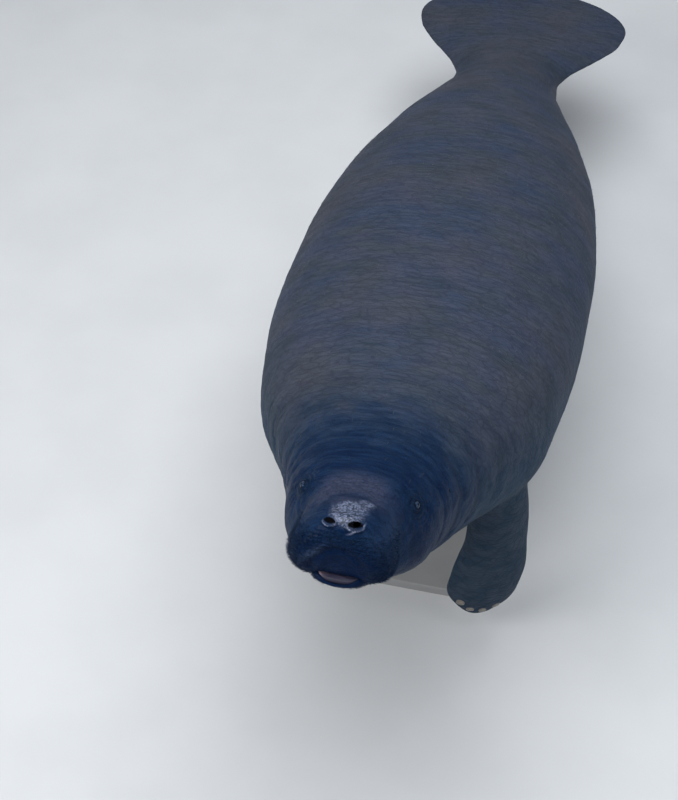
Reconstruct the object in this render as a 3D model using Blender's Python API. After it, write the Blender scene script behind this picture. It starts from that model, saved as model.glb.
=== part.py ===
"""A life-size West Indian manatee rising to breathe, on a plain display stand.

The animal is shaped along a straight body axis first: y runs from the front of the muzzle to the
tip of the tail, x to the animal's left and z to its back. posed() then bends that axis, so that
the snout is lifted and the tail hangs a little lower. The finished model faces -Y, stands on
Z = 0 and has its origin under the middle of the base.
"""

import math

import bmesh
import bpy
import numpy as np
from mathutils import Matrix, Vector

TOTAL_LENGTH = 3.0
GREATEST_HALF_WIDTH = 0.356
GREATEST_BACK = 0.232
GREATEST_BELLY = 0.300
SIZE = TOTAL_LENGTH / 3.0
PART_GAP = 0.0003
CUT_SPARE = 0.012 * SIZE
STAND_CENTRE = 1.32 * SIZE
FLOOR_TO_BELLY = 0.250
BASE_LENGTH = 1.20
BASE_WIDTH = 0.50
BASE_THICKNESS = 0.024
BASE_CORNER = 0.10
BASE_EDGE = 0.004
ROD_RADIUS = 0.022
ROD_PLACES = (0.98 * SIZE, 1.68 * SIZE)
ROD_SUNK = 0.035
FLANGE_RADIUS = 0.060
FLANGE_THICKNESS = 0.010
FLANGE_EDGE = 0.003
WELD_FOOT = 0.006
WELD_NECK = 0.0015
WELD_HEIGHT = 0.007

MUZZLE_END = 0.118 * SIZE
HEAD_END = 0.388 * SIZE
NECK_END = 0.552 * SIZE
CHEST_END = 1.120 * SIZE
BELLY_END = 1.860 * SIZE
STOCK_END = 2.360 * SIZE

EYE_RADIUS = 0.0112 * SIZE
EYE_PLACE = np.array([0.1075, 0.176, 0.050]) * SIZE
NOSTRIL_PLACE = np.array([0.0225, 0.016, 0.0487]) * SIZE
EAR_PLACE = np.array([0.150, 0.300, 0.040]) * SIZE
NOSE_CAP = 0.050 * SIZE
NOSE_BLUNTNESS = 2.5
FACE_SLOPE = 0.30
FACE_SLOPE_REACH = 0.16 * SIZE
PADDLE_CAP = 0.235 * SIZE

# Stations along the body of a 3 m animal: place behind the muzzle, then half width, height of
# the back and depth of the belly as shares of the greatest ones, and the squareness of the
# section, where 2 is an ellipse and less than 2 is lens shaped.
STATIONS = (
    (0.000, 0.222, 0.225, 0.200, 2.25),
    (0.050, 0.234, 0.262, 0.217, 2.25),
    (0.085, 0.244, 0.290, 0.253, 2.25),
    (0.130, 0.266, 0.332, 0.325, 2.20),
    (0.175, 0.326, 0.385, 0.390, 2.15),
    (0.240, 0.400, 0.455, 0.465, 2.10),
    (0.320, 0.468, 0.525, 0.540, 2.05),
    (0.420, 0.565, 0.605, 0.630, 2.05),
    (0.550, 0.725, 0.705, 0.760, 2.10),
    (0.700, 0.870, 0.815, 0.870, 2.15),
    (0.950, 0.975, 0.935, 0.970, 2.20),
    (1.250, 1.000, 1.000, 1.000, 2.20),
    (1.550, 0.945, 0.970, 0.930, 2.15),
    (1.850, 0.780, 0.840, 0.750, 2.05),
    (2.100, 0.580, 0.650, 0.540, 1.95),
    (2.270, 0.455, 0.475, 0.380, 1.85),
    (2.370, 0.440, 0.370, 0.290, 1.75),
    (2.460, 0.525, 0.285, 0.220, 1.60),
    (2.570, 0.730, 0.215, 0.165, 1.50),
    (2.680, 0.885, 0.160, 0.122, 1.50),
    (2.780, 0.930, 0.118, 0.090, 1.50),
    (3.000, 0.930, 0.040, 0.032, 1.60),
)
# Nose-up slope of the body axis in degrees, by place behind the muzzle.
SLOPES = ((0.0, 31.0), (0.20, 30.0), (0.60, 13.0), (1.20, 10.5), (2.0, 9.0), (2.4, 6.0), (3.0, 3.0))

# Nostril, ear and eye openings: radii across, along the lip and into the head, and the rims. The
# right nostril is less wide open. EYE_SUNK is the share of its radius that an eye's middle lies
# under the skin.
NOSTRIL_RADII = (0.0135 * SIZE, 0.0090 * SIZE, 0.0190 * SIZE)
NOSTRIL_END_RADII = (0.0062 * SIZE, 0.0098 * SIZE, 0.0170 * SIZE)
NOSTRIL_END_DEPTH = 0.0155 * SIZE
NOSTRIL_OPENNESS = {1: 1.0, -1: 0.82}
NOSTRIL_RIM = (0.0062 * SIZE, 0.0026 * SIZE)
EAR_RADII = (0.0022 * SIZE, 0.0030 * SIZE, 0.0060 * SIZE)
EYE_SUNK = 0.72
LID_RADII = (0.0104 * SIZE, 0.0086 * SIZE)
LID_RIM = (0.0066 * SIZE, 0.0026 * SIZE)
HEAD_TRIANGLES = 3000

# The lower jaw is a rounded scoop set up into the head from below: place, half width, height of
# its upper side and of its under side. Its lip, the pad behind it and the slit of the mouth all
# curve up at the corners by their own smile.
JAW_STATIONS = (
    (0.028, 0.050, -0.0632, -0.0735),
    (0.060, 0.053, -0.0578, -0.0790),
    (0.095, 0.054, -0.0560, -0.0895),
    (0.130, 0.054, -0.0580, -0.1005),
    (0.175, 0.046, -0.0640, -0.0940),
)
JAW_CAP = 0.034 * SIZE
JAW_BLUNTNESS = 2.2
JAW_SQUARENESS = 2.1
JAW_SMILE = 0.019 * SIZE
JAW_UNDER_SMILE = 0.35
JAW_SMILE_ENDS = (0.060 * SIZE, 0.120 * SIZE)
PAD_CENTRE = np.array([0.0, 0.075, -0.0618]) * SIZE
PAD_RADII = np.array([0.0460, 0.0415, 0.0110]) * SIZE
PAD_SMILE = 0.0145 * SIZE
PAD_FULLNESS = 0.6
MOUTH_CENTRE = np.array([0.0, 0.046, -0.0620]) * SIZE
MOUTH_RADII = np.array([0.0385, 0.0480, 0.0100]) * SIZE
MOUTH_SMILE = 0.0095 * SIZE

FLIPPER_LENGTH = 0.500 * SIZE
FLIPPER_ROOT = np.array([0.212, 0.655, -0.128]) * SIZE
FLIPPER_CAP = 0.17
FLIPPER_TIP = 0.22
FLIPPER_BLUNTNESS = 2.1
FLIPPER_SQUARENESS = 1.9
FLIPPER_EDGE = 0.3
FLIPPER_BEND = math.radians(26)
FLIPPER_DROOP = 0.018 * SIZE
# Share of the flipper's length from its root, half chord and half thickness.
FLIPPER_STATIONS = (
    (0.00, 0.066, 0.042),
    (0.20, 0.066, 0.037),
    (0.45, 0.070, 0.029),
    (0.70, 0.084, 0.021),
    (0.88, 0.083, 0.015),
    (1.00, 0.072, 0.010),
)
# Direction of each flipper and of its upper face, in the finished model's frame. The left one
# hangs in front of the chest and the right one is swept back under it.
FLIPPER_TURNS = {
    "left": ((0.19, 0.06, -0.98), (0.30, -0.95, 0.0)),
    "right": ((-0.02, 0.74, -0.67), (-0.92, -0.10, 0.20)),
}
# Each nail's share of the flipper's length and its distance across from the middle line. The
# nails fan out, each turned away from that line by NAIL_FAN times its distance.
NAIL_PLACES = ((0.930, -0.042), (0.962, -0.015), (0.960, 0.014), (0.925, 0.040))
NAIL_RADII = (0.0105 * SIZE, 0.0120 * SIZE, 0.0026 * SIZE)
NAIL_FAN = 6.0

SKIN_COLOUR = (0.060, 0.070, 0.095, 1.0)
PAD_COLOUR = (0.300, 0.150, 0.150, 1.0)
EYE_COLOUR = (0.012, 0.012, 0.016, 1.0)
NAIL_COLOUR = (0.300, 0.270, 0.230, 1.0)
STEEL_COLOUR = (0.450, 0.450, 0.460, 1.0)
BASE_COLOUR = (0.320, 0.323, 0.325, 1.0)


def through(stations):
    """A smooth curve through (place, value) stations that doesn't overshoot them."""
    places, values = np.array(stations, float).T
    steps = np.diff(places)
    rises = np.diff(values) / steps
    slopes = np.zeros(len(values))
    slopes[0], slopes[-1] = rises[0], rises[-1]
    for i in range(1, len(values) - 1):
        before, after = rises[i - 1], rises[i]
        if before * after > 0:
            near = 2 * steps[i] + steps[i - 1]
            far = steps[i] + 2 * steps[i - 1]
            slopes[i] = (near + far) / (near / before + far / after)

    def curve(place):
        place = np.clip(place, places[0], places[-1])
        i = np.clip(np.searchsorted(places, place) - 1, 0, len(steps) - 1)
        t = (place - places[i]) / steps[i]
        return (
            (1 + 2 * t) * (1 - t) ** 2 * values[i]
            + t * (1 - t) ** 2 * steps[i] * slopes[i]
            + t * t * (3 - 2 * t) * values[i + 1]
            + t * t * (t - 1) * steps[i] * slopes[i + 1]
        )

    return curve


def column(index, factor):
    return through([(row[0] * SIZE, row[index] * factor) for row in STATIONS])


half_width = column(1, GREATEST_HALF_WIDTH)
back_height = column(2, GREATEST_BACK)
belly_depth = column(3, GREATEST_BELLY)
squareness = column(4, 1.0)
slope = through([(place * SIZE, math.radians(angle)) for place, angle in SLOPES])

AXIS_STEPS = np.linspace(-0.3, TOTAL_LENGTH + 0.3, 3601)
AXIS_SLOPE = slope(AXIS_STEPS)
AXIS_BACK = np.concatenate([[0], np.cumsum(np.diff(AXIS_STEPS) * np.cos(AXIS_SLOPE[1:]))])
AXIS_RISE = -np.concatenate([[0], np.cumsum(np.diff(AXIS_STEPS) * np.sin(AXIS_SLOPE[1:]))])
AXIS_BACK -= np.interp(STAND_CENTRE, AXIS_STEPS, AXIS_BACK)


def bent(points):
    """Straight-body points carried to the bent axis, at no particular height yet."""
    points = np.asarray(points, float)
    place = points[..., 1]
    angle = np.interp(place, AXIS_STEPS, AXIS_SLOPE)
    back = np.interp(place, AXIS_STEPS, AXIS_BACK) + points[..., 2] * np.sin(angle)
    rise = np.interp(place, AXIS_STEPS, AXIS_RISE) + points[..., 2] * np.cos(angle)
    return np.stack([points[..., 0], back, rise], -1)


def lowest_of_body():
    """The lowest height of the bent belly and tail, before the model is set on its stand."""
    places = np.linspace(0.2, TOTAL_LENGTH, 400)
    belly = np.stack([0 * places, places, -belly_depth(places)], -1)
    return bent(belly)[:, 2].min()


LIFT = FLOOR_TO_BELLY - lowest_of_body()


def posed(points):
    """Straight-body points in the finished model's place."""
    return bent(points) + np.array([0, 0, LIFT])


def around(count):
    return np.arange(count) * 2 * math.pi / count


def rounded(share, bluntness):
    """How far a rounded end has opened at this share of its length, from 0 to 1."""
    share = np.clip(share, 0, 1)
    return (1 - (1 - share) ** bluntness) ** (1 / bluntness)


def section(width, above, below, power, angles):
    """Points (x, z) round one body section, starting at the animal's left."""
    c, s = np.cos(angles), np.sin(angles)
    x = width * np.sign(c) * np.abs(c) ** (2 / power)
    height = np.where(s > 0, above, below)
    z = height * np.sign(s) * np.abs(s) ** (2 / power)
    return x, z


def body_rings(places, count):
    """Rings of points on the straight body, with the slanted face and no features yet."""
    rings = np.empty((len(places), count, 3))
    for ring, place in zip(rings, places):
        nose = rounded(place / NOSE_CAP, NOSE_BLUNTNESS)
        tail = rounded((TOTAL_LENGTH - place) / PADDLE_CAP, 2.0)
        ring[:, 0], ring[:, 2] = section(
            half_width(place) * nose * tail,
            back_height(place) * nose * math.sqrt(tail),
            belly_depth(place) * nose * math.sqrt(tail),
            squareness(place),
            around(count),
        )
        ring[:, 1] = place
    return slanted(rings)


def slanted(points):
    """Leans the face back from the nostrils down, fading out towards the eyes."""
    points = points.copy()
    fade = np.clip(1 - points[..., 1] / FACE_SLOPE_REACH, 0, 1) ** 2
    points[..., 1] += FACE_SLOPE * (NOSTRIL_PLACE[2] - points[..., 2]) * fade
    return points


def outward(rings):
    """Unit normals of a grid of rings, from the neighbours of each point."""
    round_way = np.roll(rings, -1, 1) - np.roll(rings, 1, 1)
    long_way = np.gradient(rings, axis=0)
    normals = np.cross(long_way, round_way)
    length = np.linalg.norm(normals, axis=-1, keepdims=True)
    return normals / np.maximum(length, 1e-9)


def hump(points, centre, reach, height):
    """Height of a soft round swelling, or a hollow where it is negative."""
    offset = (points - np.array(centre) * SIZE) / (np.array(reach) * SIZE)
    return height * SIZE * np.exp(-(offset**2).sum(-1))


def both_sides(points, centre, reach, height):
    left = hump(points, centre, reach, height)
    mirrored = (-centre[0], centre[1], centre[2])
    return left + hump(points, mirrored, reach, height)


def relief_of(points):
    """How far the skin stands out from the plain rounded form: lips, brows, cheeks, folds."""
    x, y, z = points[..., 0] / SIZE, points[..., 1] / SIZE, points[..., 2] / SIZE
    relief = both_sides(points, (0.060, 0.036, -0.020), (0.036, 0.060, 0.040), 0.015)
    relief += both_sides(points, (0.076, 0.072, -0.045), (0.034, 0.046, 0.036), 0.006)
    relief += hump(points, (0.0, 0.020, -0.040), (0.034, 0.060, 0.030), -0.016)
    relief += hump(points, (0.0, 0.030, -0.043), (0.027, 0.050, 0.018), 0.014)
    relief += both_sides(points, (0.051, 0.045, -0.062), (0.014, 0.030, 0.012), 0.005)
    lip_arch = np.hypot(x / 0.044, (z + 0.036) / 0.038) - 1
    above = np.clip((z + 0.045) / 0.015, 0, 1) * np.clip((0.09 - y) / 0.03, 0, 1)
    relief -= 0.004 * SIZE * above * np.exp(-((lip_arch / 0.17) ** 2))
    relief += hump(points, (0.0, 0.020, 0.050), (0.042, 0.036, 0.022), 0.006)
    relief += both_sides(points, NOSTRIL_PLACE / SIZE, (0.021, 0.024, 0.016), 0.0035)
    relief += both_sides(points, (0.078, 0.020, 0.040), (0.024, 0.040, 0.026), -0.005)
    relief += both_sides(points, (0.112, 0.176, 0.052), (0.034, 0.034, 0.030), -0.006)
    relief += both_sides(points, (0.108, 0.176, 0.051), (0.020, 0.019, 0.017), 0.0085)
    relief += both_sides(points, (0.075, 0.165, 0.086), (0.034, 0.045, 0.022), 0.006)
    relief += both_sides(points, (0.112, 0.200, -0.050), (0.050, 0.062, 0.050), 0.012)
    relief += both_sides(points, (0.100, 0.120, -0.020), (0.040, 0.016, 0.060), -0.009)
    relief += both_sides(points, (0.280, 0.660, -0.130), (0.110, 0.140, 0.100), 0.020)
    wave = 0.010 * np.cos(14 * x)
    for place, depth in ((0.262, 0.0030), (0.345, 0.0055), (0.425, 0.0060), (0.500, 0.0045)):
        under = np.clip(0.65 - z / 0.30, 0.25, 1.0)
        crease = (y - place - wave - 0.06 * z) / 0.015
        relief -= depth * SIZE * under * np.exp(-(crease**2))
    return relief


def skin_rings(places, count):
    """Rings of points on the finished skin of the straight body."""
    rings = body_rings(places, count)
    return rings + outward(rings) * relief_of(rings)[..., None]


def shell_mesh(name, rings):
    """A closed mesh object of rings, each end filled by a fan round its middle."""
    rows, count = rings.shape[:2]
    points = np.concatenate([rings.reshape(-1, 3), rings[:1].mean(1), rings[-1:].mean(1)])
    first, last = rows * count, rows * count + 1
    faces = []
    for j in range(count):
        k = (j + 1) % count
        faces.append((first, j, k))
        for i in range(rows - 1):
            faces.append((i * count + j, (i + 1) * count + j, (i + 1) * count + k, i * count + k))
        faces.append((last, (rows - 1) * count + k, (rows - 1) * count + j))
    mesh = bpy.data.meshes.new(name)
    mesh.from_pydata([tuple(p) for p in points], [], faces)
    made = bpy.data.objects.new(name, mesh)
    bpy.context.scene.collection.objects.link(made)
    work = bmesh.new()
    work.from_mesh(mesh)
    bmesh.ops.remove_doubles(work, verts=work.verts, dist=1e-6)
    bmesh.ops.recalc_face_normals(work, faces=work.faces)
    work.to_mesh(mesh)
    work.free()
    return made


def baked(thing):
    """Replaces the object's mesh by what its modifiers make of it."""
    bpy.context.view_layer.update()
    graph = bpy.context.evaluated_depsgraph_get()
    mesh = bpy.data.meshes.new_from_object(thing.evaluated_get(graph))
    thing.modifiers.clear()
    old = thing.data
    thing.data = mesh
    bpy.data.meshes.remove(old)
    return thing


def combined(thing, others, operation):
    """The object after one Boolean with all the others, which are then removed."""
    group = bpy.data.collections.new("pieces")
    for other in others:
        group.objects.link(other)
    step = thing.modifiers.new("join", "BOOLEAN")
    step.operation = operation
    step.solver = "EXACT"
    step.operand_type = "COLLECTION"
    step.collection = group
    baked(thing)
    bpy.data.collections.remove(group)
    for other in others:
        bpy.data.objects.remove(other)
    return largest(thing)


def largest(thing):
    """Keeps only the largest closed surface of the object, in triangles."""
    work = bmesh.new()
    work.from_mesh(thing.data)
    bmesh.ops.triangulate(work, faces=work.faces)
    left = set(work.faces)
    pieces = []
    while left:
        piece, edge = set(), [left.pop()]
        while edge:
            face = edge.pop()
            piece.add(face)
            near = {f for e in face.edges for f in e.link_faces if f in left}
            left -= near
            edge.extend(near)
        pieces.append(piece)
    pieces.sort(key=len)
    for piece in pieces[:-1]:
        bmesh.ops.delete(work, geom=list(piece), context="FACES")
    work.to_mesh(thing.data)
    work.free()
    return thing


def in_triangles(thing):
    """Splits the faces into triangles, so that a fattened copy keeps its distance everywhere."""
    work = bmesh.new()
    work.from_mesh(thing.data)
    bmesh.ops.triangulate(work, faces=work.faces)
    work.to_mesh(thing.data)
    work.free()
    return thing


def thinned(thing, triangles):
    """Takes out the points that matter least, down to about this many triangles."""
    step = thing.modifiers.new("thin", "DECIMATE")
    step.ratio = min(1.0, triangles / len(thing.data.polygons))
    return baked(thing)


def fattened(thing, name, by):
    """A copy of the object with its skin moved out by a little."""
    copy = bpy.data.objects.new(name, thing.data.copy())
    copy.matrix_world = thing.matrix_world
    bpy.context.scene.collection.objects.link(copy)
    mesh = copy.data
    points = np.array([v.co + v.normal * by for v in mesh.vertices])
    mesh.vertices.foreach_set("co", points.astype(np.float32).ravel())
    return copy


def cut_at(thing, place, keep_front):
    """Cuts the object square across the body axis at a place and fills the cut."""
    shift = -PART_GAP / 2 if keep_front else PART_GAP / 2
    middle, behind = posed([[0, place + shift, 0], [0, place + shift + 0.001, 0]])
    normal = Vector(behind - middle).normalized()
    work = bmesh.new()
    work.from_mesh(thing.data)
    cut = bmesh.ops.bisect_plane(
        work,
        geom=list(work.verts) + list(work.edges) + list(work.faces),
        plane_co=Vector(middle),
        plane_no=normal,
        dist=1e-7,
        clear_outer=keep_front,
        clear_inner=not keep_front,
    )
    rim = [e for e in cut["geom_cut"] if isinstance(e, bmesh.types.BMEdge)]
    bmesh.ops.edgeloop_fill(work, edges=rim)
    bmesh.ops.triangulate(work, faces=work.faces)
    bmesh.ops.recalc_face_normals(work, faces=work.faces)
    work.to_mesh(thing.data)
    work.free()
    return thing


def copied(thing, name):
    copy = bpy.data.objects.new(name, thing.data.copy())
    bpy.context.scene.collection.objects.link(copy)
    return copy


def finish_of(name, colour, roughness, metallic=0.0):
    made = bpy.data.materials.new(name)
    made.use_nodes = True
    shader = made.node_tree.nodes["Principled BSDF"]
    shader.inputs["Base Color"].default_value = colour
    shader.inputs["Roughness"].default_value = roughness
    shader.inputs["Metallic"].default_value = metallic
    return made


def painted(thing, finish, smooth=True):
    thing.data.materials.clear()
    thing.data.materials.append(finish)
    if smooth:
        thing.data.shade_smooth()
        thing.data.set_sharp_from_angle(angle=math.radians(50))
    return thing


def ball(name, centre, radii, turn=None, segments=24, rows=14):
    """An ellipsoid in the finished model's place, turned by a matrix about its centre."""
    mesh = bpy.data.meshes.new(name)
    work = bmesh.new()
    bmesh.ops.create_uvsphere(work, u_segments=segments, v_segments=rows, radius=1.0)
    bmesh.ops.scale(work, vec=Vector(radii), verts=work.verts)
    work.to_mesh(mesh)
    work.free()
    mesh.transform(Matrix.Translation(Vector(centre)) @ (turn or Matrix.Identity(4)))
    made = bpy.data.objects.new(name, mesh)
    bpy.context.scene.collection.objects.link(made)
    return made


def rim_on(skull, name, centre, turn, radii, rim, major=20, minor=8):
    """A soft raised rim that follows the skin round an eye or a nostril."""
    rings = np.empty((major, minor, 3))
    for ring, a in zip(rings, around(major)):
        aside = turn.to_3x3() @ Vector((radii[0] * math.cos(a), radii[1] * math.sin(a), 0))
        found, point, normal, face = skull.closest_point_on_mesh(Vector(centre) + aside)
        out = (aside - normal * aside.dot(normal)).normalized()
        for spot, b in zip(ring, around(minor)):
            spot[:] = point + rim[0] * math.cos(b) * out + rim[1] * math.sin(b) * normal
    faces = []
    for i in range(major):
        for j in range(minor):
            k, m = (i + 1) % major, (j + 1) % minor
            faces.append((i * minor + j, k * minor + j, k * minor + m, i * minor + m))
    mesh = bpy.data.meshes.new(name)
    mesh.from_pydata([tuple(p) for p in rings.reshape(-1, 3)], [], faces)
    work = bmesh.new()
    work.from_mesh(mesh)
    bmesh.ops.recalc_face_normals(work, faces=work.faces)
    work.to_mesh(mesh)
    work.free()
    made = bpy.data.objects.new(name, mesh)
    bpy.context.scene.collection.objects.link(made)
    return made


def facing(direction, upward):
    """A turn whose z axis is the direction and whose y axis is nearest to upward."""
    z = Vector(direction).normalized()
    y = (Vector(upward) - z * Vector(upward).dot(z)).normalized()
    x = y.cross(z)
    return Matrix((x, y, z)).transposed().to_4x4()


def nearest_skin(target, low, high):
    """The skin point nearest to a straight-body point, with its outward direction."""
    places = np.linspace(low, high, 90)
    rings = skin_rings(places, 360)
    at = np.linalg.norm(rings - np.asarray(target), axis=-1)
    i, j = np.unravel_index(at.argmin(), at.shape)
    point, normal = rings[i, j], outward(rings)[i, j]
    here, there = posed([point, point + 0.001 * normal])
    return here, (there - here) / 0.001


def scaled(stations, index):
    return through([(row[0] * SIZE, row[index] * SIZE) for row in stations])


def jaw_rings(count, spacing):
    """Rings of the straight lower jaw, with a rounded chin and a raised lip round the front."""
    wide, top, under = (scaled(JAW_STATIONS, i) for i in (1, 2, 3))
    front, back = JAW_STATIONS[0][0] * SIZE, JAW_STATIONS[-1][0] * SIZE
    places = end_places(front, back, JAW_CAP, spacing)
    rings = np.empty((len(places), count, 3))
    for ring, place in zip(rings, places):
        chin = rounded((place - front) / JAW_CAP, JAW_BLUNTNESS)
        middle = (top(place) + under(place)) / 2
        half = (top(place) - under(place)) / 2 * chin
        x, z = section(wide(place) * chin, half, half, JAW_SQUARENESS, around(count))
        at_lips = np.interp(place, JAW_SMILE_ENDS, (1.0, 0.0))
        upper = np.clip(0.5 + z / half, 0, 1) if half > 0 else 0 * z
        smile = JAW_SMILE * at_lips * (x / wide(front)) ** 2
        smile *= JAW_UNDER_SMILE + (1 - JAW_UNDER_SMILE) * upper
        ring[:, 0], ring[:, 1], ring[:, 2] = x, place, z + middle + smile
    return rings


def end_places(start, end, cap, spacing):
    """Places for rings, set closer where the rounded front end closes."""
    near = start + cap * (1 - np.cos(np.linspace(0, math.pi / 2, int(1.6 * cap / spacing) + 3)))
    far = np.linspace(start + cap, end, max(2, int((end - start - cap) / spacing) + 1))
    return np.concatenate([near, far[1:]])


def body_ball(name, centre, radii, smile, fullness=1.0, segments=24, rows=14):
    """An ellipsoid curved up at both sides, full at its ends and carried to the finished pose."""
    made = ball(name, centre, radii, segments=segments, rows=rows)
    points = np.array([v.co for v in made.data.vertices])
    share = (points[:, 0] - centre[0]) / radii[0]
    points[:, 0] = centre[0] + radii[0] * np.sign(share) * np.abs(share) ** fullness
    points[:, 2] += smile * share**2
    made.data.vertices.foreach_set("co", posed(points).astype(np.float32).ravel())
    return in_triangles(made)


def head_pieces():
    """Muzzle, head, lower jaw, pad and eyes, made as one skull and then parted."""
    places = np.concatenate(
        [
            end_places(0.0, 0.200 * SIZE, NOSE_CAP, 0.0055 * SIZE),
            np.arange(0.209, 0.450, 0.010) * SIZE,
        ]
    )
    skull = shell_mesh("skull", posed(skin_rings(places, 112)))
    bpy.context.view_layer.update()
    rims, holes = [], []
    for side in (1, -1):
        mirror = np.array([side, 1, 1])
        point, out = nearest_skin(NOSTRIL_PLACE * mirror, 0.001, 0.05 * SIZE)
        turn = facing(out, (-0.22 * side, 0.9, 0.2))
        radii = NOSTRIL_OPENNESS[side] * np.array(NOSTRIL_RADII)
        end_radii = NOSTRIL_OPENNESS[side] * np.array(NOSTRIL_END_RADII)
        edge = radii + 0.5 * NOSTRIL_RIM[0]
        rims.append(rim_on(skull, "rim", point, turn, edge, NOSTRIL_RIM))
        inward = Vector((0, 1.44, -0.32)) - 0.6 * Vector(out)
        holes.append(ball("nostril", point, radii, turn, 18, 10))
        tail = np.array(inward.normalized()) * NOSTRIL_END_DEPTH
        deep = facing(inward, (1, 0, 0))
        holes.append(ball("nostril_end", point + tail, end_radii, deep, 12, 8))
        point, out = nearest_skin(EAR_PLACE * mirror, 0.27 * SIZE, 0.33 * SIZE)
        holes.append(ball("ear", point, EAR_RADII, facing(out, (0, 0, 1)), 10, 6))
    eyes = {}
    for side, name in ((1, "eye_left"), (-1, "eye_right")):
        mirror = np.array([side, 1, 1])
        point, out = nearest_skin(EYE_PLACE * mirror, 0.14 * SIZE, 0.21 * SIZE)
        turn = facing(out, (0, 0.25, 1))
        rims.append(rim_on(skull, "lid", point, turn, LID_RADII, LID_RIM))
        centre = point - EYE_SUNK * EYE_RADIUS * out
        eyes[name] = ball(name, centre, (EYE_RADIUS,) * 3, turn, segments=14, rows=8)
    combined(skull, rims, "UNION")

    jaw = in_triangles(shell_mesh("lower_jaw", posed(jaw_rings(34, 0.017 * SIZE))))
    pad = body_ball("mouth_pad", PAD_CENTRE, PAD_RADII, PAD_SMILE, PAD_FULLNESS, 20, 8)
    mouth = body_ball("mouth", MOUTH_CENTRE, MOUTH_RADII, MOUTH_SMILE, segments=24, rows=12)
    sockets = [fattened(eye, "socket", PART_GAP) for eye in eyes.values()]
    seat = fattened(jaw, "jaw_seat", PART_GAP)
    pad_seats = [fattened(pad, "pad_seat", PART_GAP) for _ in range(2)]
    combined(skull, holes + [mouth], "DIFFERENCE")
    thinned(skull, HEAD_TRIANGLES)
    combined(skull, sockets + [seat, pad_seats[0]], "DIFFERENCE")
    combined(jaw, pad_seats[1:], "DIFFERENCE")
    muzzle = cut_at(copied(skull, "muzzle"), MUZZLE_END, True)
    head = cut_at(cut_at(copied(skull, "head"), MUZZLE_END, False), HEAD_END, True)
    bpy.data.objects.remove(skull)
    return muzzle, head, jaw, pad, eyes


def trunk_piece(name, front, back, count, spacing):
    """A length of the trunk between two cuts square to the body axis."""
    count_along = int((back - front) / spacing) + 3
    places = np.linspace(front - CUT_SPARE, back + CUT_SPARE, count_along)
    made = shell_mesh(name, posed(skin_rings(places, count)))
    return cut_at(cut_at(made, front, False), back, True)


def paddle_piece(count, spacing):
    """The tail paddle, closed by its own rounded edge."""
    start = STOCK_END - CUT_SPARE
    near_tip = end_places(0.0, TOTAL_LENGTH - start, PADDLE_CAP, spacing)
    places = TOTAL_LENGTH - near_tip[::-1]
    made = shell_mesh("tail_paddle", posed(skin_rings(places, count)))
    return cut_at(made, STOCK_END, False)


def flipper_frame(side):
    """Root point, direction, chord direction and upward direction of one flipper."""
    mirror = 1 if side == "left" else -1
    root = posed(FLIPPER_ROOT * np.array([mirror, 1, 1]))
    along, up = (np.array(v) for v in FLIPPER_TURNS[side])
    along = along / np.linalg.norm(along)
    up = up - along * up.dot(along)
    up = up / np.linalg.norm(up)
    inward = np.cross(along, up) * mirror
    return root, along, inward, up


def flipper_rings(side, shares, count):
    """Rings of a flipper, bent inward along its length as a wrist bends."""
    root, along, inward, up = flipper_frame(side)
    chord = through([(row[0], row[1] * SIZE) for row in FLIPPER_STATIONS])
    thick = through([(row[0], row[2] * SIZE) for row in FLIPPER_STATIONS])
    rings = np.empty((len(shares), count, 3))
    for ring, share in zip(rings, shares):
        tip = rounded((1 - share) / FLIPPER_CAP, FLIPPER_BLUNTNESS)
        bend = FLIPPER_BEND * share
        run = FLIPPER_LENGTH * share
        middle = root + along * run * math.cos(bend / 2) + inward * run * math.sin(bend / 2)
        across = inward * math.cos(bend) - along * math.sin(bend)
        half = thick(share) * max(tip, FLIPPER_EDGE if share < 1 else 0.0)
        x, z = section(chord(share) * tip, half, half, FLIPPER_SQUARENESS, around(count))
        droop = -FLIPPER_DROOP * (x / chord(share)) ** 2 * share
        ring[:] = middle + np.outer(x, across) + np.outer(z + droop, up)
    return rings


def flipper_pieces(side, trunk):
    """One flipper and its nails; the flipper's root follows the flank it grows from."""
    tip = 1 - FLIPPER_TIP * np.cos(np.linspace(0, math.pi / 2, 7))
    shares = np.concatenate([np.linspace(-0.06, tip[0], 11), tip[1:]])
    flipper = shell_mesh("flipper_" + side, flipper_rings(side, shares, 24))
    flanks = [fattened(piece, "flank", PART_GAP) for piece in trunk]
    nails = []
    count = 240
    for number, (share, chord) in enumerate(NAIL_PLACES, 1):
        rings = flipper_rings(side, [share - 0.01, share, share + 0.01], count)
        out = outward(rings)[1]
        root, along, inward, up = flipper_frame(side)
        upper = out @ up > 0.2
        offset = (rings[1] - rings[1].mean(0)) @ inward
        at = np.where(upper, abs(offset - chord * SIZE), 9.0).argmin()
        turn = facing(out[at], along + NAIL_FAN * chord * inward)
        nail = ball(f"nail_{side}_{number}", rings[1, at], NAIL_RADII, turn, 10, 6)
        nails.append(nail)
    beds = [fattened(nail, "bed", PART_GAP) for nail in nails]
    combined(flipper, flanks + beds, "DIFFERENCE")
    return flipper, nails


def turned(name, profile, middle, count=18):
    """A solid turned about an upright axis from (radius, height) pairs, foot first."""
    rings = np.empty((len(profile), count, 3))
    for ring, (radius, height) in zip(rings, profile):
        ring[:, 0] = middle[0] + radius * np.cos(around(count))
        ring[:, 1] = middle[1] + radius * np.sin(around(count))
        ring[:, 2] = height
    return shell_mesh(name, rings)


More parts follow.
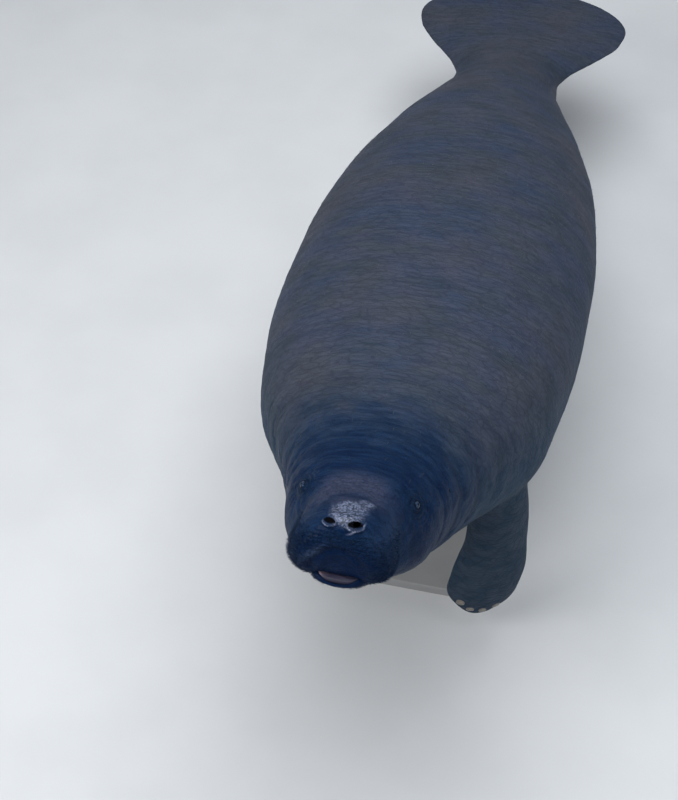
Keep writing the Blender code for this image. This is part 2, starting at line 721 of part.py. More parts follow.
def stand_pieces():
    """A flat plate with round corners and two steel rods, each on its own round foot."""
    mesh = bpy.data.meshes.new("stand_base")
    work = bmesh.new()
    bmesh.ops.create_cube(work, size=1.0)
    bmesh.ops.scale(work, vec=(BASE_WIDTH, BASE_LENGTH, BASE_THICKNESS), verts=work.verts)
    bmesh.ops.translate(work, vec=(0, 0, BASE_THICKNESS / 2), verts=work.verts)
    upright = [e for e in work.edges if abs(e.verts[0].co.z - e.verts[1].co.z) > BASE_THICKNESS / 2]
    bmesh.ops.bevel(
        work, geom=upright, offset=BASE_CORNER, segments=10, affect="EDGES", profile=0.5
    )
    edge = BASE_THICKNESS / 2
    top = [e for e in work.edges if all(v.co.z > edge for v in e.verts) and len(e.link_faces) == 2]
    bmesh.ops.bevel(work, geom=top, offset=BASE_EDGE, segments=2, affect="EDGES", profile=0.5)
    bmesh.ops.recalc_face_normals(work, faces=work.faces)
    work.to_mesh(mesh)
    work.free()
    base = bpy.data.objects.new("stand_base", mesh)
    bpy.context.scene.collection.objects.link(base)
    rods = []
    for name, place in zip(("stand_rod_front", "stand_rod_rear"), ROD_PLACES):
        belly = posed([0, place, -belly_depth(place)])
        foot = BASE_THICKNESS + PART_GAP
        top = belly[2] + ROD_SUNK
        face = foot + FLANGE_THICKNESS
        profile = (
            (FLANGE_RADIUS - FLANGE_EDGE, foot),
            (FLANGE_RADIUS, foot + FLANGE_EDGE),
            (FLANGE_RADIUS, face - FLANGE_EDGE),
            (FLANGE_RADIUS - FLANGE_EDGE, face),
            (ROD_RADIUS + WELD_FOOT, face),
            (ROD_RADIUS + WELD_NECK, face + 0.3 * WELD_HEIGHT),
            (ROD_RADIUS, face + WELD_HEIGHT),
            (ROD_RADIUS, top),
        )
        rods.append(turned(name, profile, belly))
    return base, rods


def main():
    for thing in list(bpy.data.objects):
        bpy.data.objects.remove(thing)
    skin = finish_of("skin", SKIN_COLOUR, 0.42)
    pad_finish = finish_of("mouth_lining", PAD_COLOUR, 0.35)
    eye_finish = finish_of("eye", EYE_COLOUR, 0.08)
    nail_finish = finish_of("nail", NAIL_COLOUR, 0.45)
    steel = finish_of("rod_steel", STEEL_COLOUR, 0.30, metallic=1.0)
    plate = finish_of("base_paint", BASE_COLOUR, 0.55)

    muzzle, head, jaw, pad, eyes = head_pieces()
    neck = trunk_piece("neck", HEAD_END, NECK_END, 42, 0.0150 * SIZE)
    chest = trunk_piece("chest", NECK_END, CHEST_END, 36, 0.060 * SIZE)
    belly = trunk_piece("belly", CHEST_END, BELLY_END, 36, 0.082 * SIZE)
    stock = trunk_piece("tail_stock", BELLY_END, STOCK_END, 32, 0.064 * SIZE)
    paddle = paddle_piece(30, 0.055 * SIZE)
    base, rods = stand_pieces()
    for piece, rod in ((chest, rods[0]), (belly, rods[1])):
        combined(piece, [fattened(rod, "socket", PART_GAP)], "DIFFERENCE")
    flippers = [flipper_pieces(side, (neck, chest)) for side in ("left", "right")]

    animal = bpy.data.objects.new("manatee", None)
    stand = bpy.data.objects.new("stand", None)
    for holder in (animal, stand):
        bpy.context.scene.collection.objects.link(holder)
    flesh = [muzzle, head, jaw, neck, chest, belly, stock, paddle]
    for flipper, nails in flippers:
        flesh.append(flipper)
        for nail in nails:
            painted(nail, nail_finish).parent = animal
    for piece in flesh:
        painted(piece, skin).parent = animal
    painted(pad, pad_finish).parent = animal
    for eye in eyes.values():
        painted(eye, eye_finish).parent = animal
    painted(base, plate).parent = stand
    for rod in rods:
        painted(rod, steel).parent = stand


main()
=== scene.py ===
import math

import bmesh
import bpy
import numpy as np
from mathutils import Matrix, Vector
from mathutils.bvhtree import BVHTree


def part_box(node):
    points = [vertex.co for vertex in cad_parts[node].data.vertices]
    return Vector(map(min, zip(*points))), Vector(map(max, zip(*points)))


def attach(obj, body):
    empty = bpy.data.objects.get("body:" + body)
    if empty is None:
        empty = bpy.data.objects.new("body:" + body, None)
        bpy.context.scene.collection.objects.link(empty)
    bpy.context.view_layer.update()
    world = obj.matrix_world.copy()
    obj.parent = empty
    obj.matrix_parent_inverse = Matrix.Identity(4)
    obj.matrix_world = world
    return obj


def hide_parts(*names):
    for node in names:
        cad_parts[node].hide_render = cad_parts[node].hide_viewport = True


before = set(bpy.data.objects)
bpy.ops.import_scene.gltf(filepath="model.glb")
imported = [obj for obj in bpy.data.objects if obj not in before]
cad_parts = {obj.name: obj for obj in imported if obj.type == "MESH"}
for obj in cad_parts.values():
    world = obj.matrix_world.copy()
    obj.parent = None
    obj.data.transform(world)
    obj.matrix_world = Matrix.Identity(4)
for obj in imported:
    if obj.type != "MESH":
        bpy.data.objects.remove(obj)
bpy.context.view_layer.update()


# The hide of head, trunk, tail and jaw. On the animal it is one thick, nearly bare skin, folded
# behind the head and swollen round lips, nostrils and eyes. It is laid over the flesh solids
# ring by ring along the body's bent axis, so that no joint between the solids shows.
BODY_LENGTH = 3.0
HALF_WIDTH = 0.356
BACK_HEIGHT = 0.232
BELLY_DEPTH = 0.300
STAND_PLACE = 1.32
BELLY_OVER_FLOOR = 0.250
NOSE_CAP = 0.050
NOSE_BLUNTNESS = 2.5
FACE_LEAN = 0.30
FACE_LEAN_REACH = 0.16
PADDLE_CAP = 0.235
PADDLE_BLUNTNESS = 2.0
NOSTRIL_PLACE = np.array([0.0225, 0.016, 0.0487])
EYE_PLACE = np.array([0.1075, 0.176, 0.050])
EAR_PLACE = np.array([0.150, 0.300, 0.040])
# Place behind the muzzle, half width, back and belly as shares of the greatest, squareness.
BODY_SHAPE = (
    (0.000, 0.222, 0.225, 0.200, 2.25),
    (0.050, 0.234, 0.262, 0.217, 2.25),
    (0.085, 0.244, 0.290, 0.253, 2.25),
    (0.130, 0.266, 0.332, 0.325, 2.20),
    (0.175, 0.326, 0.385, 0.390, 2.15),
    (0.240, 0.400, 0.455, 0.465, 2.10),
    (0.320, 0.468, 0.525, 0.540, 2.05),
    (0.420, 0.565, 0.605, 0.630, 2.05),
    (0.550, 0.725, 0.705, 0.760, 2.10),
    (0.700, 0.870, 0.815, 0.870, 2.15),
    (0.950, 0.975, 0.935, 0.970, 2.20),
    (1.250, 1.000, 1.000, 1.000, 2.20),
    (1.550, 0.945, 0.970, 0.930, 2.15),
    (1.850, 0.780, 0.840, 0.750, 2.05),
    (2.100, 0.580, 0.650, 0.540, 1.95),
    (2.270, 0.455, 0.475, 0.380, 1.85),
    (2.370, 0.440, 0.370, 0.290, 1.75),
    (2.460, 0.525, 0.285, 0.220, 1.60),
    (2.570, 0.730, 0.215, 0.165, 1.50),
    (2.680, 0.885, 0.160, 0.122, 1.50),
    (2.780, 0.930, 0.118, 0.090, 1.50),
    (3.000, 0.930, 0.040, 0.032, 1.60),
)
# Place, and by how many degrees the axis rises towards the nose there.
NOSE_UP = (
    (0.0, 31.0),
    (0.20, 30.0),
    (0.60, 13.0),
    (1.20, 10.5),
    (2.0, 9.0),
    (2.4, 6.0),
    (3.0, 3.0),
)


def through(stations):
    """A smooth curve through (place, value) stations that doesn't overshoot them."""
    places, values = np.array(stations, float).T
    steps = np.diff(places)
    rises = np.diff(values) / steps
    slopes = np.zeros(len(values))
    slopes[0], slopes[-1] = rises[0], rises[-1]
    for i in range(1, len(values) - 1):
        before, after = rises[i - 1], rises[i]
        if before * after > 0:
            near, far = 2 * steps[i] + steps[i - 1], steps[i] + 2 * steps[i - 1]
            slopes[i] = (near + far) / (near / before + far / after)

    def curve(place):
        place = np.clip(place, places[0], places[-1])
        i = np.clip(np.searchsorted(places, place) - 1, 0, len(steps) - 1)
        t = (place - places[i]) / steps[i]
        return (
            (1 + 2 * t) * (1 - t) ** 2 * values[i]
            + t * (1 - t) ** 2 * steps[i] * slopes[i]
            + t * t * (3 - 2 * t) * values[i + 1]
            + t * t * (t - 1) * steps[i] * slopes[i + 1]
        )

    return curve


def column(stations, number, scale=1.0):
    """A smooth curve through one column of a table whose first column is the place."""
    return through([(row[0], row[number] * scale) for row in stations])


half_width = column(BODY_SHAPE, 1, HALF_WIDTH)
back_height = column(BODY_SHAPE, 2, BACK_HEIGHT)
belly_depth = column(BODY_SHAPE, 3, BELLY_DEPTH)
squareness = column(BODY_SHAPE, 4)
slope = through([(place, math.radians(angle)) for place, angle in NOSE_UP])

AXIS = np.linspace(-0.3, BODY_LENGTH + 0.3, 3601)
AXIS_SLOPE = slope(AXIS)
AXIS_BACK = np.concatenate([[0], np.cumsum(np.diff(AXIS) * np.cos(AXIS_SLOPE[1:]))])
AXIS_RISE = -np.concatenate([[0], np.cumsum(np.diff(AXIS) * np.sin(AXIS_SLOPE[1:]))])
AXIS_BACK -= np.interp(STAND_PLACE, AXIS, AXIS_BACK)


def posed(points):
    """Points of the straight body, x, place and height, carried on to the bent axis."""
    points = np.asarray(points, float)
    angle = np.interp(points[..., 1], AXIS, AXIS_SLOPE)
    back = np.interp(points[..., 1], AXIS, AXIS_BACK) + points[..., 2] * np.sin(angle)
    rise = np.interp(points[..., 1], AXIS, AXIS_RISE) + points[..., 2] * np.cos(angle)
    return np.stack([points[..., 0], back, rise], -1)


under = np.linspace(0.2, BODY_LENGTH, 400)
keel = posed(np.stack([0 * under, under, -belly_depth(under)], -1))
AXIS_RISE += BELLY_OVER_FLOOR - keel[:, 2].min()


def straightened(points):
    """The way back from posed(): where points of the model lie on the straight body."""
    place = np.interp(points[:, 1], AXIS_BACK, AXIS)
    bend = np.gradient(AXIS_SLOPE, AXIS)
    for _ in range(12):
        angle = np.interp(place, AXIS, AXIS_SLOPE)
        back = points[:, 1] - np.interp(place, AXIS, AXIS_BACK)
        rise = points[:, 2] - np.interp(place, AXIS, AXIS_RISE)
        height = back * np.sin(angle) + rise * np.cos(angle)
        ahead = back * np.cos(angle) - rise * np.sin(angle)
        place = place + ahead / np.maximum(1 + height * np.interp(place, AXIS, bend), 0.4)
    return np.stack([points[:, 0], place, height], -1)


def rounded(share, bluntness):
    share = np.clip(share, 0, 1)
    return (1 - (1 - share) ** bluntness) ** (1 / bluntness)


def section(width, above, below, power, angles):
    """Points (x, z) round one section of the body."""
    c, s = np.cos(angles), np.sin(angles)
    x = width * np.sign(c) * np.abs(c) ** (2 / power)
    return x, np.where(s > 0, above, below) * np.sign(s) * np.abs(s) ** (2 / power)


def peak(value, width):
    """1 where the value is nothing, falling softly away on both sides of it."""
    return np.exp(-((value / width) ** 2))


def hump(points, centre, reach, height):
    """A soft swelling of the skin, or a hollow where the height is negative."""
    offset = (points - np.array(centre)) / np.array(reach)
    return height * np.exp(-(offset**2).sum(-1))


def pair(points, centre, reach, height):
    left = hump(points, centre, reach, height)
    return left + hump(points, (-centre[0], centre[1], centre[2]), reach, height)


def soft_step(value, low, high):
    share = np.clip((value - low) / (high - low), 0, 1)
    return share * share * (3 - 2 * share)


def mottle(points, size, seed):
    """Smooth random values from -1 to 1 that change over about this size."""
    spots = np.asarray(points, float) / size + 17.3 * seed
    base = np.floor(spots)
    share = spots - base
    share = share * share * (3 - 2 * share)
    total = 0.0
    for corner in np.ndindex(2, 2, 2):
        key = np.sin((base + corner) @ np.array([12.9898, 78.233, 37.719])) * 43758.5453
        weight = np.prod(np.where(corner, share, 1 - share), -1)
        total = total + weight * (2 * (key - np.floor(key)) - 1)
    return total


def creased(points, stretch, size, seed):
    """Thin wandering creases, -1 in their middle and nothing between them."""
    return -peak(mottle(points / np.array(stretch), size, seed), 0.17)


def lip_reach(x, z):
    """Distance from the open middle under the lip's arch, 1 on the arch itself."""
    return np.hypot(x / 0.044, (z + 0.036) / 0.038)


# Centre, reach and height of each swelling of the skin. Those off the middle come in pairs.
SWELLINGS = {
    "lip_pad": ((0.060, 0.036, -0.020), (0.036, 0.060, 0.040), 0.015),
    "jowl": ((0.076, 0.072, -0.045), (0.034, 0.046, 0.036), 0.006),
    "lip_cleft": ((0.0, 0.020, -0.040), (0.034, 0.060, 0.030), -0.016),
    "middle_lip": ((0.0, 0.030, -0.043), (0.027, 0.050, 0.018), 0.014),
    "lip_corner": ((0.051, 0.045, -0.062), (0.014, 0.030, 0.012), 0.005),
    "snout": ((0.0, 0.020, 0.050), (0.042, 0.036, 0.022), 0.006),
    "nostril": (NOSTRIL_PLACE, (0.021, 0.024, 0.016), 0.0035),
    "snout_side": ((0.078, 0.020, 0.040), (0.024, 0.040, 0.026), -0.005),
    "eye_socket": ((0.112, 0.176, 0.052), (0.034, 0.034, 0.030), -0.006),
    "eye_ring": ((0.108, 0.176, 0.051), (0.020, 0.019, 0.017), 0.0085),
    "brow": ((0.075, 0.165, 0.086), (0.034, 0.045, 0.022), 0.006),
    "cheek": ((0.112, 0.200, -0.050), (0.050, 0.062, 0.050), 0.012),
    "muzzle_edge": ((0.100, 0.120, -0.020), (0.040, 0.016, 0.060), -0.009),
    "shoulder": ((0.280, 0.660, -0.130), (0.110, 0.140, 0.100), 0.020),
}
NECK_FOLDS = ((0.262, 0.0030), (0.345, 0.0055), (0.425, 0.0060), (0.500, 0.0045))


def relief(points):
    """Lips, brows, cheeks, shoulders and neck folds over the plain round body."""
    x, y, z = points[..., 0], points[..., 1], points[..., 2]
    out = 0.0
    for centre, reach, height in SWELLINGS.values():
        out = out + (pair if centre[0] else hump)(points, centre, reach, height)
    above = np.clip((z + 0.045) / 0.015, 0, 1) * np.clip((0.09 - y) / 0.03, 0, 1)
    out -= 0.004 * above * peak(lip_reach(x, z) - 1, 0.17)
    wave = 0.010 * np.cos(14 * x)
    below = np.clip(0.65 - z / 0.30, 0.25, 1.0)
    for place, depth in NECK_FOLDS:
        out -= depth * below * peak(y - place - wave - 0.06 * z, 0.015)
    return out


def furrows(points):
    """The finer wrinkles that the solids leave out: muzzle, lip pads, snout, eyes and neck."""
    x, y, z = points[..., 0], points[..., 1], points[..., 2]
    drift = mottle(points, 0.03, 1)
    on_face = soft_step(y, 0.10, 0.05)
    below_nose = on_face * soft_step(z, -0.012, 0.004) * soft_step(z, 0.044, 0.034)
    below_nose = 0.0004 * below_nose * soft_step(np.abs(x), 0.075, 0.045)
    out = below_nose * np.cos(z / 0.00115 + 1.8 * drift)
    spoke = np.arctan2(z + 0.034, x)
    far = np.hypot(x, z + 0.034)
    on_pads = on_face * soft_step(far, 0.042, 0.056) * soft_step(z, 0.030, 0.005)
    out += 0.0004 * on_pads * np.cos(34 * spoke + 2.6 * drift)
    on_snout = soft_step(y, 0.055, 0.085) * soft_step(y, 0.25, 0.18) * soft_step(z, 0.030, 0.055)
    out += 0.0005 * on_snout * creased(points, (3.2, 1.0, 2.0), 0.011, 11)
    for side in (1, -1):
        eye = EYE_PLACE * np.array([side, 1, 1])
        ring = np.linalg.norm(points - eye, axis=-1)
        about = soft_step(ring, 0.017, 0.023) * soft_step(ring, 0.062, 0.030)
        out += 0.0006 * about * np.cos(ring / 0.00125 + 1.8 * drift)
        turn = np.arctan2(z - eye[2], y - eye[1])
        rays = soft_step(ring, 0.024, 0.034) * soft_step(ring, 0.080, 0.045)
        out += 0.0007 * rays * np.cos(15 * turn + 2.6 * drift)
    on_neck = soft_step(y, 0.20, 0.27) * soft_step(y, 0.75, 0.50)
    out += 0.0020 * on_neck * creased(points, (4.5, 1.0, 2.5), 0.030, 2)
    on_crown = soft_step(y, 0.17, 0.22) * soft_step(y, 0.48, 0.40)
    out += 0.0008 * on_crown * creased(points, (3.0, 1.0, 2.0), 0.014, 12)
    long_way = points / np.array([1.0, 2.6, 1.0])
    out += 0.0022 * soft_step(y, 0.45, 0.9) * mottle(long_way, 0.055, 3)
    return out + 0.0006 * mottle(points, 0.014, 4)


def circle(count, start=0.0):
    """Evenly spaced angles once round."""
    return start + np.arange(count) * 2 * math.pi / count


def outward(rings):
    """Unit normals of a grid of rings."""
    across = np.roll(rings, -1, 1) - np.roll(rings, 1, 1)
    normals = np.cross(np.gradient(rings, axis=0), across)
    return normals / np.maximum(np.linalg.norm(normals, axis=-1, keepdims=True), 1e-9)


def hide_rings(places, angles):
    """Rings of points on the straight body, with the lean of the face and the main relief."""
    rings = np.empty((len(places), len(angles), 3))
    for ring, place in zip(rings, places):
        nose = rounded(place / NOSE_CAP, NOSE_BLUNTNESS)
        tail = rounded((BODY_LENGTH - place) / PADDLE_CAP, PADDLE_BLUNTNESS)
        ring[:, 0], ring[:, 2] = section(
            half_width(place) * nose * tail,
            back_height(place) * nose * math.sqrt(tail),
            belly_depth(place) * nose * math.sqrt(tail),
            squareness(place),
            angles,
        )
        ring[:, 1] = place
    fade = np.clip(1 - rings[..., 1] / FACE_LEAN_REACH, 0, 1) ** 2
    rings[..., 1] += FACE_LEAN * (NOSTRIL_PLACE[2] - rings[..., 2]) * fade
    return rings + outward(rings) * relief(rings)[..., None]


POLE_ANGLE = 0.02


def places_from(cap, end, spacing, count, bluntness):
    """Places for rings from a rounded end, closest where it closes."""
    swing = np.linspace(POLE_ANGLE, math.pi / 2, count)
    near = cap * (1 - np.cos(swing) ** (2 / bluntness))
    far = np.linspace(cap, end, max(2, int((end - cap) / spacing) + 1))
    return np.concatenate([near, far[1:]])


def linked(name, data):
    """A new object of this data, put into the scene."""
    made = bpy.data.objects.new(name, data)
    bpy.context.scene.collection.objects.link(made)
    return made


def new_piece(name, points, corners, sizes, unwrap):
    """A mesh of its points, its faces' corners and sizes, and each corner's OFBake spot."""
    mesh = bpy.data.meshes.new(name)
    mesh.vertices.add(len(points))
    mesh.vertices.foreach_set("co", points.astype(np.float32).ravel())
    mesh.loops.add(len(corners))
    mesh.loops.foreach_set("vertex_index", corners.astype(np.int32))
    mesh.polygons.add(len(sizes))
    mesh.polygons.foreach_set("loop_start", (np.cumsum(sizes) - sizes).astype(np.int32))
    mesh.update(calc_edges=True)
    mesh.uv_layers.new(name="OFBake").data.foreach_set("uv", unwrap.astype(np.float32).ravel())
    return linked(name, mesh)


def ring_mesh(name, rings, patch, rows=None):
    """A closed mesh of rings whose unwrap fills patch, (u0, v0, u1, v1), of the OFBake map."""
    count, around = rings.shape[:2]
    points = np.concatenate([rings.reshape(-1, 3), rings[:1].mean(1), rings[-1:].mean(1)])
    rows = np.linspace(0, 1, count + 2) if rows is None else rows
    i, j = np.indices((count - 1, around)).reshape(2, -1)
    k = (j + 1) % around
    here, there = i * around, (i + 1) * around
    quads = np.stack([here + j, there + j, there + k, here + k], 1)
    side = np.stack([j, j, j + 1, j + 1], 1) / around
    down = np.stack([rows[i + 1], rows[i + 2], rows[i + 2], rows[i + 1]], 1)
    j = np.arange(around)
    k = (j + 1) % around
    last = (count - 1) * around
    front = np.stack([0 * j + count * around, j, k], 1)
    rear = np.stack([0 * j + count * around + 1, last + k, last + j], 1)
    caps = [np.stack([j + 0.5, j, j + 1], 1) / around, np.stack([j + 0.5, j + 1, j], 1) / around]
    ends = [np.tile(rows[[0, 1, 1]], around), np.tile(rows[[-1, -2, -2]], around)]
    u = np.concatenate([side.ravel()] + [cap.ravel() for cap in caps])
    v = np.concatenate([down.ravel()] + ends)
    u0, v0, u1, v1 = patch
    spots = np.stack([u0 + u * (u1 - u0), v0 + v * (v1 - v0)], 1)
    corners = np.concatenate([quads.ravel(), front.ravel(), rear.ravel()])
    sizes = np.concatenate([np.full(len(quads), 4), np.full(2 * around, 3)])
    made = new_piece(name, points, corners, sizes, spots)
    first, second, third = (points[quads[:, i]] for i in range(3))
    if np.einsum("ij,ij->i", first, np.cross(second, third)).sum() < 0:
        made.data.flip_normals()
    return made


def joined(thing, others, operation):
    """The object after one Boolean with the others, which are then removed."""
    group = bpy.data.collections.new("others")
    for other in others:
        group.objects.link(other)
    step = thing.modifiers.new("join", "BOOLEAN")
    step.operation, step.solver, step.operand_type = operation, "MANIFOLD", "COLLECTION"
    step.collection = group
    bpy.context.view_layer.update()
    graph = bpy.context.evaluated_depsgraph_get()
    mesh = bpy.data.meshes.new_from_object(thing.evaluated_get(graph))
    thing.modifiers.clear()
    thing.data = mesh
    bpy.data.collections.remove(group)
    for other in others:
        bpy.data.objects.remove(other)


def facing(direction, upward):
    """A turn whose third column is the direction and whose second is nearest to upward."""
    z = np.asarray(direction, float) / np.linalg.norm(direction)
    y = np.asarray(upward, float) - z * np.dot(upward, z)
    y = y / np.linalg.norm(y)
    return np.stack([np.cross(y, z), y, z], 1)


def ball_rings(centre, radii, turn, count, around, power=2.0):
    """Rings of an ellipsoid whose poles lie along the third column of turn."""
    lift = np.linspace(POLE_ANGLE - math.pi / 2, math.pi / 2 - POLE_ANGLE, count)
    lift, swing = np.meshgrid(lift, circle(around), indexing="ij")
    across, high = section(np.cos(lift), np.cos(lift), np.cos(lift), power, swing)
    ball = np.stack([across, high, np.sin(lift)], -1)
    return np.asarray(centre) + (ball * np.array(radii)) @ np.asarray(turn).T


AROUND_HIDE = 320
UNDERSIDE = -math.pi / 2
paddle = places_from(PADDLE_CAP, BODY_LENGTH - 2.70, 0.009, 40, PADDLE_BLUNTNESS)
places = np.concatenate(
    [
        places_from(NOSE_CAP, 0.200, 0.0025, 46, NOSE_BLUNTNESS),
        np.arange(0.2027, 0.560, 0.0030),
        np.arange(0.5630, 0.760, 0.0060),
        np.arange(0.7650, 2.695, 0.0100),
        BODY_LENGTH - paddle[::-1],
    ]
)
straight = hide_rings(places, circle(AROUND_HIDE, UNDERSIDE))
facings = outward(straight)
straight = straight + facings * furrows(straight)[..., None]


def skin_at(target):
    """The point of the finished skin nearest to a straight-body point, and where it faces."""
    gap = np.linalg.norm(straight - np.asarray(target), axis=-1)
    i, j = np.unravel_index(gap.argmin(), gap.shape)
    here, there = posed([straight[i, j], straight[i, j] + 0.001 * facings[i, j]])
    return here, (there - here) / 0.001


# Nostrils open up and forward on the snout, each with a raised rim that is thickest below. The
# eyes are sunk between ringed lids, and the ears are pits as wide as a straw.
def middle_of(node):
    """The middle of a solid's box."""
    low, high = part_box(node)
    return (np.array(low) + np.array(high)) / 2


def oval_reach(local, radii):
    """Distance from the middle of an oval, 1 on its edge."""
    return np.hypot(local[..., 0] / radii[0], local[..., 1] / radii[1])


NOSTRIL_RADII = (0.0135, 0.0090, 0.0190)
NOSTRIL_END_RADII = (0.0062, 0.0098, 0.0170)
NOSTRIL_END_DEPTH = 0.0155
NOSTRIL_OPENNESS = {1: 1.0, -1: 0.82}
NOSTRIL_RIM = 0.0026
NOSTRIL_GROOVE = 0.0009
LID_RADII = (0.0104, 0.0086)
# Height of each ring of a lid, its distance as a share of the lid's radii, and its width.
LID_RINGS = ((0.0030, 1.0, 0.30), (-0.0016, 1.62, 0.22), (0.0014, 2.20, 0.26))
EYE_RADIUS = 0.0112
EYE_GAP = 0.0003
EAR_RADII = (0.0022, 0.0030, 0.0060)
HOLLOW_KINDS = ("nostril", "nostril_end", "eye", "ear")
bent = posed(straight)
out_of_skin = outward(bent)
lift = 0.0 * bent[..., 0]
cutters = []
hollows = []
for side in (1, -1):
    mirror = np.array([side, 1, 1])
    point, out = skin_at(NOSTRIL_PLACE * mirror)
    turn = facing(out, (-0.22 * side, 0.9, 0.2))
    local = (bent - point) @ turn
    radii = NOSTRIL_OPENNESS[side] * np.array(NOSTRIL_RADII)
    reach = oval_reach(local, radii)
    near = peak(local[..., 2], 0.02)
    low_side = 0.62 + 0.38 * np.clip(-local[..., 1] / 0.010, -1, 1)
    uneven = 1 + 0.35 * mottle(bent, 0.009, 13)
    lift += NOSTRIL_RIM * low_side * uneven * near * peak(reach - 1.13, 0.17)
    lift -= NOSTRIL_GROOVE * near * peak(reach - 1.55, 0.20)
    inward = np.array([0, 1.44, -0.32]) - 0.6 * out
    inward = inward / np.linalg.norm(inward)
    end_radii = NOSTRIL_OPENNESS[side] * np.array(NOSTRIL_END_RADII)
    end = (point + NOSTRIL_END_DEPTH * inward, end_radii, facing(inward, (1, 0, 0)))
    hollows += [(point, radii, turn), end]
    eye_point, eye_out = skin_at(EYE_PLACE * mirror)
    turn = facing(eye_out, (0, 0.25, 1))
    local = (bent - eye_point) @ turn
    for height, place, width in LID_RINGS:
        ring = peak(oval_reach(local, LID_RADII) - place, width)
        lift += height * peak(local[..., 2], 0.02) * ring
    eye_middle = middle_of("eye_left" if side > 0 else "eye_right")
    hollows.append((eye_middle, (EYE_RADIUS + EYE_GAP,) * 3, turn))
    point, out = skin_at(EAR_PLACE * mirror)
    hollows.append((point, EAR_RADII, facing(out, (0, 0, 1))))
bent = bent + out_of_skin * lift[..., None]

# The unwrap gives the head two fifths of the map's height, and the rest shares what is left.
UNWRAP_WEIGHTS = ((0.0, 1.0), (0.45, 1.0), (0.75, 0.28), (3.0, 0.22))
POLE_STEP = 0.004
arc = np.linalg.norm(np.diff(bent[:, AROUND_HIDE // 2], axis=0), axis=1)
weight = np.interp(places[1:], *np.transpose(UNWRAP_WEIGHTS))
rows = POLE_STEP + np.concatenate([[-POLE_STEP, 0], np.cumsum(arc * weight)])
rows = np.append(rows, rows[-1] + POLE_STEP) / (rows[-1] + POLE_STEP)
hide = ring_mesh("hide", bent, (0.002, 0.002, 0.998, 0.800), rows)

# The mouth is a low hollow under the lip pads, and the lower jaw is set up into it from below.
MOUTH_CENTRE = np.array([0.0, 0.046, -0.0620])
MOUTH_RADII = np.array([0.0385, 0.0480, 0.0100])
MOUTH_SMILE = 0.0095
JAW_SHAPE = (
    (0.028, 0.050, -0.0632, -0.0735),
    (0.060, 0.053, -0.0578, -0.0790),
    (0.095, 0.054, -0.0560, -0.0895),
    (0.130, 0.054, -0.0580, -0.1005),
    (0.175, 0.046, -0.0640, -0.0940),
)
AROUND_JAW = 140
JAW_CAP = 0.034
JAW_BLUNTNESS = 2.2
JAW_SQUARENESS = 2.1
JAW_SMILE = 0.019
JAW_SMILE_ENDS = (0.060, 0.120)
JAW_UNDER_SMILE = 0.35
PAD_CENTRE = np.array([0.0, 0.075, -0.0618])
PAD_RADII = np.array([0.0460, 0.0415, 0.0110])
PAD_SMILE = 0.0145
PAD_FULLNESS = 0.6
PAD_BED_DEPTH = 0.005
level = np.eye(3)
mouth = ball_rings(MOUTH_CENTRE, MOUTH_RADII, level, 40, 96)
mouth[..., 2] += MOUTH_SMILE * (mouth[..., 0] / MOUTH_RADII[0]) ** 2
cutters.append(ring_mesh("mouth_cut", posed(mouth), (0.52, 0.91, 0.70, 0.99)))
for number, (centre, radii, turn) in enumerate(hollows):
    corner = 0.72 + 0.034 * number
    patch = (corner, 0.91, corner + 0.030, 0.99)
    power = 1.65 if HOLLOW_KINDS[number % 4] == "nostril" else 2.0
    cutters.append(ring_mesh("hollow", ball_rings(centre, radii, turn, 36, 64, power), patch))
joined(hide, cutters, "DIFFERENCE")

wide, top, low = (column(JAW_SHAPE, number) for number in (1, 2, 3))
jaw_start = JAW_SHAPE[0][0]
jaw_run = JAW_SHAPE[-1][0] - jaw_start
jaw_places = jaw_start + places_from(JAW_CAP, jaw_run, 0.0028, 30, JAW_BLUNTNESS)
jaw_rings = np.empty((len(jaw_places), AROUND_JAW, 3))
turns = circle(AROUND_JAW, UNDERSIDE)
for ring, place in zip(jaw_rings, jaw_places):
    chin = rounded((place - jaw_start) / JAW_CAP, JAW_BLUNTNESS)
    half = (top(place) - low(place)) / 2 * chin
    ring[:, 0], rise = section(wide(place) * chin, half, half, JAW_SQUARENESS, turns)
    upper = np.clip(0.5 + rise / half, 0, 1)
    at_lips = np.interp(place, JAW_SMILE_ENDS, (1.0, 0.0))
    smile = JAW_SMILE * at_lips * (ring[:, 0] / JAW_SHAPE[0][1]) ** 2
    smile *= JAW_UNDER_SMILE + (1 - JAW_UNDER_SMILE) * upper
    across = np.abs(ring[:, 0] / PAD_RADII[0]) ** (1 / PAD_FULLNESS)
    bed = np.hypot(across, (place - PAD_CENTRE[1]) / PAD_RADII[1])
    smile -= PAD_BED_DEPTH * upper * soft_step(bed, 1.04, 0.94)
    ring[:, 1], ring[:, 2] = place, rise + (top(place) + low(place)) / 2 + smile
jaw_rings = jaw_rings + outward(jaw_rings) * (0.0006 * mottle(jaw_rings, 0.014, 4))[..., None]
jaw = ring_mesh("jaw", posed(jaw_rings), (0.002, 0.91, 0.49, 0.99))

